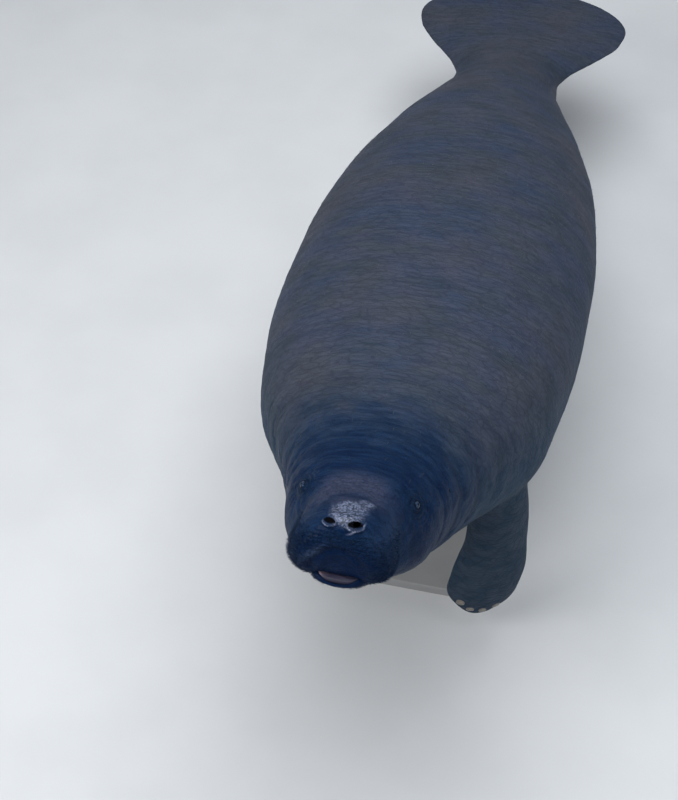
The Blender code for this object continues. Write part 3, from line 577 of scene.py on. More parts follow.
# Flippers are flat paddles bent at the wrist, one ahead of the chest and one swept back.
FLIPPER_LENGTH = 0.500
FLIPPER_ROOT = np.array([0.212, 0.655, -0.128])
FLIPPER_CAP = 0.17
FLIPPER_BLUNTNESS = 2.1
FLIPPER_SQUARENESS = 1.9
FLIPPER_BEND = math.radians(26)
FLIPPER_DROOP = 0.018
FLIPPER_SHAPE = (
    (0.00, 0.066, 0.042),
    (0.20, 0.066, 0.037),
    (0.45, 0.070, 0.029),
    (0.70, 0.084, 0.021),
    (0.88, 0.083, 0.015),
    (1.00, 0.072, 0.010),
)
FLIPPER_TURNS = {
    "left": ((0.19, 0.06, -0.98), (0.30, -0.95, 0.0)),
    "right": ((-0.02, 0.74, -0.67), (-0.92, -0.10, 0.20)),
}
flipper_chord = column(FLIPPER_SHAPE, 1)
flipper_thickness = column(FLIPPER_SHAPE, 2)


def flipper_frame(side):
    """Root point, direction, chord direction and upward direction of one flipper."""
    mirror = 1 if side == "left" else -1
    along, up = (np.array(v) for v in FLIPPER_TURNS[side])
    along = along / np.linalg.norm(along)
    up = up - along * up.dot(along)
    up = up / np.linalg.norm(up)
    return posed(FLIPPER_ROOT * np.array([mirror, 1, 1])), along, np.cross(along, up) * mirror, up


def flipper_rings(side, shares, turns):
    """Rings of a flipper, bent inward along its length as a wrist bends."""
    root, along, inward, up = flipper_frame(side)
    rings = np.empty((len(shares), len(turns), 3))
    for ring, share in zip(rings, shares):
        tip = rounded((1 - share) / FLIPPER_CAP, FLIPPER_BLUNTNESS)
        bend, run = FLIPPER_BEND * share, FLIPPER_LENGTH * share
        middle = root + along * run * math.cos(bend / 2) + inward * run * math.sin(bend / 2)
        across = inward * math.cos(bend) - along * math.sin(bend)
        half = flipper_thickness(share) * tip**0.5
        x, z = section(flipper_chord(share) * tip, half, half, FLIPPER_SQUARENESS, turns)
        droop = -FLIPPER_DROOP * (x / flipper_chord(share)) ** 2 * share
        ring[:] = middle + np.outer(x, across) + np.outer(z + droop, up)
    return rings


def surface_of(thing):
    """The surface of a piece as a tree that finds its nearest points and hits."""
    work = bmesh.new()
    work.from_mesh(thing.data)
    tree = BVHTree.FromBMesh(work)
    work.free()
    return tree


additions = [jaw]
for number, side in enumerate(("left", "right")):
    shares = 1 - places_from(FLIPPER_CAP, 1.06, 0.010, 34, FLIPPER_BLUNTNESS)[::-1]
    rings = flipper_rings(side, shares, circle(110, UNDERSIDE))
    lean = rings / np.array([1.0, 1.0, 2.0])
    rings = rings + outward(rings) * (0.0009 * mottle(lean, 0.020, 5))[..., None]
    edge = 0.002 + 0.50 * number
    additions.append(ring_mesh("flipper", rings, (edge, 0.81, edge + 0.49, 0.90)))
trunk, jaw_part, left_part, right_part = (surface_of(thing) for thing in [hide] + additions)
joined(hide, additions, "UNION")


# Where flippers and jaw grow from the body the skin runs over in a hollow curve.
SEAM_REACH = 0.0004
WELD_REACH = 2e-5
SHARP_FOLD = math.radians(62)


def points_of(mesh):
    flat = np.empty(len(mesh.vertices) * 3, np.float32)
    mesh.vertices.foreach_get("co", flat)
    return flat.reshape(-1, 3).astype(float)


def soften(mesh, strength, rounds):
    """Evens out the points of a mesh where the strength is above nothing."""
    points = points_of(mesh)
    edges = np.empty(len(mesh.edges) * 2, np.int32)
    mesh.edges.foreach_get("vertices", edges)
    edges = edges.reshape(-1, 2)
    edges = edges[(strength[edges] > 0.001).any(1)]
    number = np.bincount(edges.ravel(), minlength=len(points)).astype(float)
    share = strength * (number > 0)
    for _ in range(rounds):
        total = np.zeros_like(points)
        for axis in range(3):
            total[:, axis] = np.bincount(edges[:, 0], points[edges[:, 1], axis], len(points))
            total[:, axis] += np.bincount(edges[:, 1], points[edges[:, 0], axis], len(points))
        mean = total / np.maximum(number, 1)[:, None]
        points += (share * 0.6)[:, None] * (mean - points)
    mesh.vertices.foreach_set("co", points.astype(np.float32).ravel())
    mesh.update()


work = bmesh.new()
work.from_mesh(hide.data)
bmesh.ops.remove_doubles(work, verts=work.verts, dist=WELD_REACH)
work.to_mesh(hide.data)
work.free()
points = points_of(hide.data)
x, y, z = straightened(points).T
near_roots = (np.abs(points[:, 0]) > 0.12) & (y > 0.45) & (y < 1.0) & (z < 0.05)
near_jaw = (y > 0.085) & (y < 0.24) & (z < -0.035)
strength = np.zeros(len(points))
for area, part, reach in (
    (near_roots, left_part, 0.030),
    (near_roots, right_part, 0.030),
    (near_jaw, jaw_part, 0.012),
):
    at = np.nonzero(area)[0]
    seam = []
    for i in at:
        found = [tree.find_nearest(Vector(points[i]), SEAM_REACH)[0] for tree in (trunk, part)]
        if None not in found:
            seam.append(points[i])
    seam = np.array(seam)
    gap = np.array([np.sqrt(((seam - points[i]) ** 2).sum(1).min()) for i in at])
    strength[at] = np.maximum(strength[at], peak(gap, reach))
strength[near_jaw] *= soft_step(y[near_jaw], 0.095, 0.135)
soften(hide.data, strength, 30)
hide.data.shade_smooth()
hide.data.set_sharp_from_angle(angle=SHARP_FOLD)


# What the paint needs to know of each point of the skin: where it lies on the straight body,
# and how far it belongs to the wet head, the snout's top with its painted sheen, the patch of
# painted glints over the nostrils, the lip pads, the back, a fold or an opening painted with
# shade, a rim painted with glints, or a paler patch of the muzzle.
def oval_peak(across, width, along, height):
    """1 in the middle of an oval patch, falling softly away from it."""
    return np.exp(-((across / width) ** 2) - (along / height) ** 2)


def from_mouth(lie):
    """Straight-body points as they lie from the middle of the curved mouth."""
    smile = MOUTH_SMILE * np.clip(lie[:, 0] / MOUTH_RADII[0], -1, 1) ** 2
    return lie - smile[:, None] * np.array([0, 0, 1]) - MOUTH_CENTRE


def hold(thing, name, vectors):
    """Keeps a vector with each point of a piece, for its paint to read."""
    kept = thing.data.attributes.new(name, "FLOAT_VECTOR", "POINT")
    kept.data.foreach_set("vector", vectors.astype(np.float32).ravel())


points = points_of(hide.data)
lie = straightened(points)
x, y, z = lie.T
rough_edge = 0.018 * mottle(lie, 0.045, 6) + 0.010 * mottle(lie, 0.016, 7)
head = soft_step(y - 0.10 * np.clip(z, -0.2, 0.2) + 2.2 * rough_edge, 0.510, 0.230)
# The snout's top is painted lighter, its own violet-grey with a painted sheen of light on top.
snout_width = np.hypot(x / 0.088, (y - 0.120) / 0.062) + 5 * rough_edge
snout = soft_step(snout_width, 1.20, 0.55) * soft_step(z, 0.010, 0.045)
cheek_glow = oval_peak(x + 0.046, 0.019, z + 0.010 - 0.8 * (x + 0.046), 0.009)
cheek_glow = cheek_glow * soft_step(y, 0.09, 0.05)
dome_glow = oval_peak(x + 0.006, 0.024, z + 0.040, 0.020) * soft_step(y, 0.08, 0.05)
side_glow = oval_peak(x - 0.080, 0.030, z - 0.022, 0.020) * soft_step(y, 0.12, 0.08)
snout = np.clip(snout * (1 - 0.6 * soft_step(x, 0.035, 0.065)) + 0.20 * dome_glow, 0, 1)
# Painted glints: the patch over the nostrils is painted pale and mottled, standing in for light on
# its wet skin; the same mask also makes it glossy.
wet_width = np.hypot((x - 0.006) / 0.037, (y - 0.050) / 0.043) + 10 * rough_edge
wet_glints = soft_step(wet_width, 1.10, 0.72) * soft_step(z, 0.040, 0.054)
wet_glints *= 1 - 0.85 * oval_peak(x - 0.038, 0.014, y - 0.050, 0.020)
wet_glints *= 1 - 0.25 * oval_peak(x - 0.012, 0.014, y - 0.040, 0.016)
far_lobe = np.hypot((x - 0.028) / 0.018, (y - 0.090) / 0.012) + 10 * rough_edge
wet_glints = np.maximum(wet_glints, 0.65 * soft_step(far_lobe, 1.10, 0.60) * soft_step(z, 0.040, 0.054))
pads = soft_step(y, 0.115, 0.075) * soft_step(z, 0.034, 0.006)
back = soft_step(z + 0.12 * soft_step(y, 1.8, 2.4), -0.08, 0.13) * (1 - head)
# Painted shade: the hollows of the relief, the neck folds among them, are painted darker, and so is
# a ring at each eye socket's edge.
folds = np.clip(-relief(lie) / 0.005, 0, 1) * soft_step(y, 0.10, 0.2)
# Painted glints: pale lines along the low side of each nostril's rim and a pale arc by the left one,
# and a little painted light on each nostril's front wall inside.
rim_glints = 0 * x
# Painted shade: inside the nostrils, eye sockets and ears the skin is painted near black, in the
# nostrils from a little below the rim and deeper on the front wall.
recess_shade = 0 * x
for number, (centre, radii, turn) in enumerate(hollows):
    kind = HOLLOW_KINDS[number % 4]
    local = (points - centre) @ turn
    reach = np.linalg.norm(local / np.array(radii), axis=1)
    inside = soft_step(reach, 1.06, 1.02)
    if kind in ("nostril", "nostril_end"):
        opening, opening_radii, opening_turn = hollows[number - number % 4]
        in_it = (points - opening) @ opening_turn
        depth = -in_it[:, 2]
        over, up = in_it[:, 0] / opening_radii[0], in_it[:, 1] / opening_radii[1]
        front_wall = soft_step(0.55 * over**2 - up, 0.30, 0.80)
        edge = 0.0060 * front_wall - 0.0014
        dark = soft_step(depth, edge, edge + 0.0012 + 0.0060 * front_wall)
        recess_shade = np.maximum(recess_shade, inside * dark)
        rim_glints = np.maximum(rim_glints, 0.10 * inside * front_wall * soft_step(depth, 0.0130, 0.0040))
    else:
        recess_shade = np.maximum(recess_shade, inside)
    if kind == "eye":
        folds = folds + 0.9 * peak(reach - 1.13, 0.07)
    if kind == "nostril":
        ring = oval_reach(local, radii)
        low_side = soft_step(-local[:, 1] / 0.010, -0.35, 0.45)
        low_side *= np.clip(0.65 + 0.9 * mottle(points, 0.005, 14), 0.1, 1.1)
        near = peak(local[:, 2], 0.012) * soft_step(ring, 0.97, 1.03)
        if number == 0:
            low_side *= 0.3 + 0.7 * soft_step(np.abs(local[:, 0]), 0.002, 0.009)
            arc = np.hypot(local[:, 0] + 0.0179, local[:, 1] - 0.0293) - 0.0428
            along = soft_step(local[:, 0], -0.018, -0.006) * soft_step(local[:, 0], 0.021, 0.014)
            rim_glints = np.maximum(rim_glints, along * near * peak(arc, 0.0011))
        rim_glints = np.maximum(rim_glints, low_side * near * peak(ring - 1.09, 0.085))
# The eyes' surrounds and a darker band round the patch of glints join the painted shade of the
# folds, and the snout's painted sheen is taken off there.
shade_round_eyes = pair(lie, EYE_PLACE, (0.024, 0.026, 0.022), 1.0)
halo = peak(wet_width - 1.36, 0.20) * soft_step(y, 0.045, 0.065) * soft_step(z, 0.035, 0.05)
folds = np.clip(folds + 1.6 * shade_round_eyes + 0.5 * halo, 0, 1.6)
snout = snout * (1 - shade_round_eyes) * (1 - 0.6 * halo)
# Painted shade: the mouth under the lip's roof is darkened too.
in_mouth = from_mouth(lie)
roof = soft_step(in_mouth[:, 2], 0.0024, 0.0064)
mouth_reach = np.linalg.norm(in_mouth / MOUTH_RADII, axis=1)
recess_shade = np.maximum(recess_shade, 0.75 * roof * soft_step(mouth_reach, 1.05, 1.0))
for name, columns in (
    ("lie", (x, y, z)),
    ("zone", (head, snout, wet_glints)),
    ("mark", (recess_shade, folds, rim_glints)),
    ("part", (back, pads, soft_step(z, -0.05, -0.22))),
    ("glow", (cheek_glow, side_glow, 0 * x)),
):
    hold(hide, name, np.stack(columns, 1))


# Grain is the fine unevenness of any surface: a soft cloud mask and a height with it. It and
# every paint below are put together from these few steps.
def feed(tree, node, inputs):
    """Links each socket to the node's input of that name, or sets the input to the value."""
    for key, value in inputs.items():
        if isinstance(value, bpy.types.NodeSocket):
            tree.links.new(value, node.inputs[key])
        else:
            node.inputs[key].default_value = value


def add_node(tree, kind, inputs, **settings):
    """A shader node with its settings, and its inputs by name or number."""
    made = tree.nodes.new("ShaderNode" + kind)
    for key, value in settings.items():
        setattr(made, key, value)
    feed(tree, made, inputs)
    return made


def mixed(tree, share, first, second):
    """Two colours mixed by a share, each a socket or a plain colour."""
    colours = [c if isinstance(c, bpy.types.NodeSocket) else (*c, 1.0) for c in (first, second)]
    inputs = {0: share, 6: colours[0], 7: colours[1]}
    return add_node(tree, "Mix", inputs, data_type="RGBA").outputs[2]


def worked(tree, operation, first, second, third=0.0):
    """The result of a sum, product or other step with numbers or sockets."""
    return add_node(tree, "Math", {0: first, 1: second, 2: third}, operation=operation).outputs[0]


def painted(tree, colour, paint, mask, strength):
    """A colour with another laid over it where the mask is, at this strength."""
    return mixed(tree, worked(tree, "MULTIPLY", mask, strength), colour, paint)


def spread(tree, value, low, high, to_low=0.0, to_high=1.0):
    """A value between low and high stretched softly to other ends."""
    inputs = {"Value": value, "From Min": low, "From Max": high, "To Min": to_low, "To Max": to_high}
    return add_node(tree, "MapRange", inputs, interpolation_type="SMOOTHSTEP").outputs["Result"]


def stretched(tree, vector, amounts):
    return add_node(tree, "VectorMath", {0: vector, 1: amounts}, operation="MULTIPLY").outputs[0]


def split(tree, vector):
    return add_node(tree, "SeparateXYZ", {0: vector}).outputs


def held(tree, name, kind="Vector"):
    """What each point of the mesh keeps under this name."""
    return add_node(tree, "Attribute", {}, attribute_name=name).outputs[kind]


def bump(tree, strength, height):
    """The normal that a height gives, in metres of the object."""
    inputs = {"Strength": strength, "Distance": 1.0, "Height": height}
    return add_node(tree, "Bump", inputs).outputs[0]


def new_group(name, inputs, outputs):
    """An empty shader group that takes a vector and numbers, with its two end nodes."""
    tree = bpy.data.node_groups.new(name, "ShaderNodeTree")
    tree.interface.new_socket("Vector", in_out="INPUT", socket_type="NodeSocketVector")
    for socket, value in inputs.items():
        made = tree.interface.new_socket(socket, in_out="INPUT", socket_type="NodeSocketFloat")
        made.default_value = value
    for socket in outputs:
        tree.interface.new_socket(socket, in_out="OUTPUT", socket_type="NodeSocketFloat")
    return tree, tree.nodes.new("NodeGroupInput").outputs, tree.nodes.new("NodeGroupOutput")


def placed(tree, group, inputs):
    """A group set into a material with its own values."""
    made = tree.nodes.new("ShaderNodeGroup")
    made.node_tree = group
    feed(tree, made, inputs)
    return made.outputs


def new_material(name):
    material = bpy.data.materials.new(name)
    material.use_nodes = True
    return material, material.node_tree, material.node_tree.nodes["Principled BSDF"]


numbers = {"Scale": 50.0, "Detail": 4.0, "Depth": 0.0005}
grain, given, made = new_group("grain", numbers, ("Mask", "Height"))
inputs = {"Vector": given[0], "Scale": given[1], "Detail": given[2]}
cloud = add_node(grain, "TexNoise", inputs).outputs[0]
height = worked(grain, "MULTIPLY", cloud, given[3])
feed(grain, made, {"Mask": spread(grain, cloud, 0.32, 0.68), "Height": height})


def grained(tree, vector, scale, detail, depth=0.0005):
    """The mask and the height of a grain of this scale."""
    return placed(tree, grain, {"Vector": vector, "Scale": scale, "Detail": detail, "Depth": depth})


# Wrinkles are the net of short creases that crosses thick skin, longest across the body.
wrinkles, given, made = new_group("wrinkles", {"Scale": 60.0, "Depth": 0.001}, ("Crease", "Height"))
swirl = add_node(wrinkles, "TexNoise", {"Vector": given[0], "Scale": 14.0, "Detail": 2.0})
shift = stretched(wrinkles, swirl.outputs["Color"], (0.030, 0.030, 0.030))
moved = add_node(wrinkles, "VectorMath", {0: given[0], 1: shift}, operation="ADD").outputs[0]
long_way = stretched(wrinkles, moved, (0.42, 1.55, 0.80))
nets = []
for size, width in ((given[1], 0.16), (worked(wrinkles, "MULTIPLY", given[1], 2.7), 0.20)):
    inputs = {"Vector": long_way, "Scale": size}
    cells = add_node(wrinkles, "TexVoronoi", inputs, feature="DISTANCE_TO_EDGE")
    nets.append(spread(wrinkles, cells.outputs[0], 0.0, width))
coarse = worked(wrinkles, "MULTIPLY", nets[0], 0.65)
both = worked(wrinkles, "MULTIPLY_ADD", nets[1], 0.35, coarse)
height = worked(wrinkles, "MULTIPLY", both, given[2])
feed(wrinkles, made, {"Crease": worked(wrinkles, "SUBTRACT", 1.0, both), "Height": height})


def wrinkled(tree, scale, depth):
    """The creases and the height of a net of wrinkles on the hide."""
    return placed(tree, wrinkles, {"Vector": held(tree, "lie"), "Scale": scale, "Depth": depth})


# The paint of the hide follows the photograph: a blue-black wet head, a violet-grey snout painted
# lighter on top as sheen, a pale patch of painted glints between the nostrils and a dull back,
# blue-grey with olive-grey patches, over flanks painted darker as shade. Folds, creases and
# openings are painted darker as shade.
hide_finish, tree, shader = new_material("hide_finish")
lie_at = held(tree, "lie")
head_share, snout_share, wet_glint_share = split(tree, held(tree, "zone"))
recess_shade_share, fold_shade_share, rim_glint_share = split(tree, held(tree, "mark"))
back_share, pad_share, belly_share = split(tree, held(tree, "part"))
cheek_share, jowl_share, _ = split(tree, held(tree, "glow"))
clouds, _ = grained(tree, lie_at, 5.0, 5.0)
patches, _ = grained(tree, stretched(tree, lie_at, (1.0, 1.7, 1.0)), 11.0, 6.0)
streaks, _ = grained(tree, stretched(tree, lie_at, (0.35, 2.4, 0.9)), 34.0, 6.0)
specks, _ = grained(tree, lie_at, 210.0, 3.0)
creases, net_height = wrinkled(tree, 62.0, 0.0011)
_, fine_height = wrinkled(tree, 150.0, 0.0008)
_, pore_height = grained(tree, lie_at, 520.0, 2.0, 0.00025)
_, ripple_height = grained(tree, stretched(tree, lie_at, (0.30, 2.2, 0.8)), 30.0, 4.0, 0.0022)
back_colour = mixed(tree, clouds, (0.029, 0.043, 0.082), (0.048, 0.051, 0.073))
back_colour = painted(tree, back_colour, (0.035, 0.045, 0.052), patches, 0.55)
# Painted shade: the flanks are painted darker and bluer than the back.
shaded_flank_colour = mixed(tree, clouds, (0.009, 0.031, 0.070), (0.015, 0.038, 0.070))
body_colour = mixed(tree, back_share, shaded_flank_colour, back_colour)
body_colour = mixed(tree, belly_share, body_colour, (0.019, 0.037, 0.062))
pale_colour = mixed(tree, 0.45, body_colour, (0.10, 0.11, 0.14))
body_colour = painted(tree, body_colour, pale_colour, streaks, 0.45)
head_colour = mixed(tree, streaks, (0.0015, 0.0115, 0.0440), (0.0075, 0.0250, 0.0680))
# The lip pads are painted darker still, their own tone with painted shade under the snout.
head_colour = painted(tree, head_colour, (0.0005, 0.0090, 0.0440), pad_share, 0.75)
snout_sheen_colour = mixed(tree, specks, (0.027, 0.036, 0.072), (0.048, 0.055, 0.095))
colour = mixed(tree, head_share, body_colour, head_colour)
# Painted sheen on the snout's top.
colour = painted(tree, colour, snout_sheen_colour, snout_share, 0.90)
colour = painted(tree, colour, (0.022, 0.048, 0.105), jowl_share, 0.45)
colour = painted(tree, colour, (0.046, 0.072, 0.140), cheek_share, 0.90)
# Painted shade darkens the wrinkles' creases.
colour = painted(tree, colour, mixed(tree, 0.75, colour, (0.004, 0.006, 0.010)), creases, 0.42)
# Painted shade in the folds and hollows and round the eyes.
colour = painted(tree, colour, mixed(tree, 0.8, colour, (0.002, 0.008, 0.022)), fold_shade_share, 0.55)
# Painted glints: a pale broken net laid over the colour of the wet patch.
inputs = {"Vector": lie_at, "Scale": 150.0, "Detail": 3.0, "Distortion": 1.4}
glint_noise = add_node(tree, "TexNoise", inputs)
glint_share = spread(tree, glint_noise.outputs[0], 0.44, 0.60)
painted_glint_colour = mixed(tree, glint_share, (0.030, 0.040, 0.068), (0.185, 0.215, 0.330))
colour = mixed(tree, wet_glint_share, colour, painted_glint_colour)
# Painted glints on the nostrils' rims.
colour = painted(tree, colour, (0.27, 0.30, 0.42), rim_glint_share, 0.85)
# Painted shade, near black, in the openings.
colour = mixed(tree, recess_shade_share, colour, (0.0015, 0.0015, 0.0022))
gloss = spread(tree, head_share, 0.0, 1.0, 0.54, 0.44)
gloss = worked(tree, "SUBTRACT", gloss, worked(tree, "MULTIPLY", wet_glint_share, 0.14))
gloss = worked(tree, "MULTIPLY_ADD", patches, 0.10, gloss)
gloss = worked(tree, "MULTIPLY_ADD", recess_shade_share, 0.5, gloss)
coat = worked(tree, "MULTIPLY_ADD", head_share, 0.02, 0.01)
coat = worked(tree, "MULTIPLY_ADD", wet_glint_share, 0.60, coat)
coat = worked(tree, "MULTIPLY", coat, worked(tree, "SUBTRACT", 1.0, recess_shade_share))
height = worked(tree, "ADD", net_height, pore_height)
height = worked(tree, "ADD", height, worked(tree, "MULTIPLY", fine_height, head_share))
height = worked(tree, "ADD", height, ripple_height)
WATER_BLUE = (0.55, 0.75, 1.0, 1.0)
feed(
    tree,
    shader,
    {
        "Base Color": colour,
        "Roughness": gloss,
        "Coat Weight": coat,
        "Coat Roughness": 0.14,
        "Specular IOR Level": 0.07,
        "Specular Tint": WATER_BLUE,
        "Normal": bump(tree, 0.85, height),
    },
)
hide.data.materials.clear()
hide.data.materials.append(hide_finish)

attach(hide, "root")
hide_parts("muzzle", "head", "lower_jaw", "neck", "chest", "belly", "tail_stock")
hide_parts("tail_paddle", "flipper_left", "flipper_right")


# The pad of the lower jaw, a horny pink cushion with low cross ridges that a manatee has in
# place of front teeth. It lies in the scoop of the jaw and shows as a crescent under the lip.
PAD_SQUARENESS = 2.3
PAD_RIDGE = 0.0005
PAD_RIDGE_STEP = 0.0011
sideways = facing((1, 0, 0), (0, 0, 1))
pad_rings = ball_rings(PAD_CENTRE, PAD_RADII[[1, 2, 0]], sideways, 90, 120, PAD_SQUARENESS)
ridge = np.cos((pad_rings[..., 1] + 0.004 * mottle(pad_rings, 0.012, 8)) / PAD_RIDGE_STEP)
top_share = soft_step(pad_rings[..., 2] - PAD_CENTRE[2], 0.002, 0.008)
swell = 0.0008 * mottle(pad_rings, 0.010, 9)
pad_rings[..., 2] += PAD_RIDGE * ridge * top_share + swell * top_share
side_share = pad_rings[..., 0] / PAD_RADII[0]
pad_rings[..., 0] = PAD_RADII[0] * np.sign(side_share) * np.abs(side_share) ** PAD_FULLNESS
pad_rings[..., 2] += PAD_SMILE * side_share**2
pad = ring_mesh("mouth_pad_lining", posed(pad_rings), (0.01, 0.01, 0.99, 0.99))
pad.data.shade_smooth()
hold(pad, "lie", straightened(points_of(pad.data)))
pad_finish, tree, shader = new_material("pad_finish")
lie_at = held(tree, "lie")
across, along, _ = split(tree, lie_at)
blotch, blotch_height = grained(tree, lie_at, 90.0, 4.0, 0.0006)
pale_side = spread(tree, across, -0.013, -0.038)
colour = mixed(tree, pale_side, (0.042, 0.038, 0.073), (0.285, 0.205, 0.255))
colour = mixed(tree, spread(tree, across, 0.012, 0.036), colour, (0.016, 0.023, 0.048))
colour = painted(tree, colour, (0.020, 0.020, 0.040), blotch, 0.5)
colour = mixed(tree, spread(tree, along, 0.042, 0.034), colour, (0.032, 0.030, 0.055))
feed(
    tree,
    shader,
    {
        "Base Color": colour,
        "Roughness": spread(tree, blotch, 0.0, 1.0, 0.42, 0.58),
        "Specular IOR Level": 0.30,
        "Subsurface Weight": 0.12,
        "Subsurface Scale": 0.004,
        "Normal": bump(tree, 0.8, blotch_height),
    },
)
pad.data.materials.append(pad_finish)
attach(pad, "root")
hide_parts("mouth_pad")


# The eyes, small dark balls sunk between round lids. The real eye is nearly black with a clear
# bulging front. The model's is a glass eye whose iris is painted blue-grey, its own tone with a
# painted glint.
EYE_BULGE = 0.0012
EYE_FRONT = 0.0052


def eye_rings(centre, turn):
    """Rings of an eyeball with a slightly bulging clear front."""
    rings = ball_rings(centre, (EYE_RADIUS,) * 3, turn, 44, 72)
    local = (rings - centre) @ turn
    across = np.hypot(local[..., 0], local[..., 1])
    bulge = EYE_BULGE * peak(across, EYE_FRONT) * (local[..., 2] > 0)
    return rings + turn[:, 2] * bulge[..., None]


eye_finish, tree, shader = new_material("eye_finish")
gaze = held(tree, "gaze")
flat = stretched(tree, gaze, (1.0, 1.0, 0.0))
reach = add_node(tree, "VectorMath", {0: flat}, operation="LENGTH").outputs["Value"]
fibre, _ = grained(tree, gaze, 9.0, 5.0)
# Painted reflection: the iris is painted a lit blue-grey, standing for the eye's glint.
iris_and_glint = mixed(tree, fibre, (0.012, 0.020, 0.042), (0.032, 0.050, 0.086))
colour = mixed(tree, spread(tree, reach, 0.19, 0.25), (0.0016, 0.0028, 0.0060), iris_and_glint)
colour = mixed(tree, spread(tree, reach, 0.50, 0.60), colour, (0.0040, 0.0065, 0.0130))
feed(
    tree,
    shader,
    {
        "Base Color": colour,
        "Roughness": spread(tree, reach, 0.5, 0.8, 0.14, 0.24),
        "IOR": 1.33,
        "Specular IOR Level": 0.42,
        "Specular Tint": (0.30, 0.55, 1.0, 1.0),
    },
)
for side, name in ((1, "left"), (-1, "right")):
    centre = middle_of("eye_" + name)
    _, eye_out = skin_at(EYE_PLACE * np.array([side, 1, 1]))
    turn = facing(eye_out, (0, 0.25, 1))
    eye = ring_mesh("eyeball_" + name, eye_rings(centre, turn), (0.01, 0.01, 0.99, 0.99))
    eye.data.shade_smooth()
    hold(eye, "gaze", (points_of(eye.data) - centre) @ turn / EYE_RADIUS)
    eye.data.materials.append(eye_finish)
    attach(eye, "root")
    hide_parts("eye_" + name)


# The nails, four worn horny plates on the upper edge of each flipper. They are grey-brown horn
# with growth ridges, and each is sunk in a bed in the flipper's skin.
NAIL_PLACES = ((0.930, -0.042), (0.962, -0.015), (0.960, 0.014), (0.925, 0.040))
NAIL_RADII = (0.0105, 0.0120, 0.0026)
NAIL_FAN = 6.0
NAIL_FIT = 0.985
NAIL_WEAR = 0.0006
nail_finish, tree, shader = new_material("nail_finish")
nail_lie = held(tree, "nail")
ridges, ridge_height = grained(tree, stretched(tree, nail_lie, (5.0, 0.6, 1.0)), 2.2, 4.0, 0.0004)
stain, _ = grained(tree, nail_lie, 1.3, 4.0)
colour = mixed(tree, ridges, (0.135, 0.120, 0.105), (0.250, 0.225, 0.190))
feed(
    tree,
    shader,
    {
        "Base Color": painted(tree, colour, (0.080, 0.072, 0.070), stain, 0.6),
        "Roughness": spread(tree, stain, 0, 1, 0.34, 0.50),
        "Normal": bump(tree, 0.9, ridge_height),
    },
)
plate = ball_rings((0, 0, 0), (1, 1, 1), level, 26, 44)
squared = np.sign(plate) * np.abs(plate) ** np.array([0.88, 0.88, 1.0])
worn = squared * np.array(NAIL_RADII) * NAIL_FIT
worn[..., 2] -= NAIL_WEAR * np.clip(plate[..., 1], 0, 1) ** 2
for side in ("left", "right"):
    _, along, inward, up = flipper_frame(side)
    for number, (share, chord) in enumerate(NAIL_PLACES, 1):
        name = f"nail_{side}_{number}"
        rings = flipper_rings(side, [share - 0.01, share, share + 0.01], circle(240))
        out = outward(rings)[1]
        offset = (rings[1] - rings[1].mean(0)) @ inward
        at = np.where(out @ up > 0.2, abs(offset - chord), 9.0).argmin()
        turn = facing(out[at], along + NAIL_FAN * chord * inward)
        centre = middle_of(name)
        shape = centre + worn @ turn.T
        nail = ring_mesh(f"nail_plate_{side}_{number}", shape, (0.01, 0.01, 0.99, 0.99))
        nail.data.shade_smooth()
        hold(nail, "nail", (points_of(nail.data) - centre) @ turn / np.array(NAIL_RADII))
        nail.data.materials.append(nail_finish)
        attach(nail, "root")
        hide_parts(name)


# The bristles of the lip pads, short stiff hairs that stand out all round the muzzle and show
# pale against it. Each is a tapered bent blade of horn with its root sunk in the skin.
def face_table(mesh):
    """Centre, normal, area and place on the unwrap of every face of a mesh."""
    count = len(mesh.polygons)
    centres, normals = np.empty(count * 3, np.float32), np.empty(count * 3, np.float32)
    areas = np.empty(count, np.float32)
    starts, totals = np.empty(count, np.int32), np.empty(count, np.int32)
    mesh.polygons.foreach_get("center", centres)
    mesh.polygons.foreach_get("normal", normals)
    mesh.polygons.foreach_get("area", areas)
    mesh.polygons.foreach_get("loop_start", starts)
    mesh.polygons.foreach_get("loop_total", totals)
    unwrap = np.empty(len(mesh.loops) * 2, np.float32)
    mesh.uv_layers["OFBake"].data.foreach_get("uv", unwrap)
    unwrap = unwrap.reshape(-1, 2)
    middle = np.add.reduceat(unwrap, starts, axis=0) / totals[:, None]
    return centres.reshape(-1, 3).astype(float), normals.reshape(-1, 3).astype(float), areas, middle


def unit(vectors):
    return vectors / np.linalg.norm(vectors, axis=1, keepdims=True)


# How far along its bend each row of a hair lies, its thickness and how far along the hair.
HAIR_ROWS = ((0.00, 1.00, -0.16), (0.38, 0.82, 0.30), (0.72, 0.50, 0.66))
HAIR_HEIGHTS = (0.0, 0.4, 0.75)
HAIR_PATCH = 0.0015


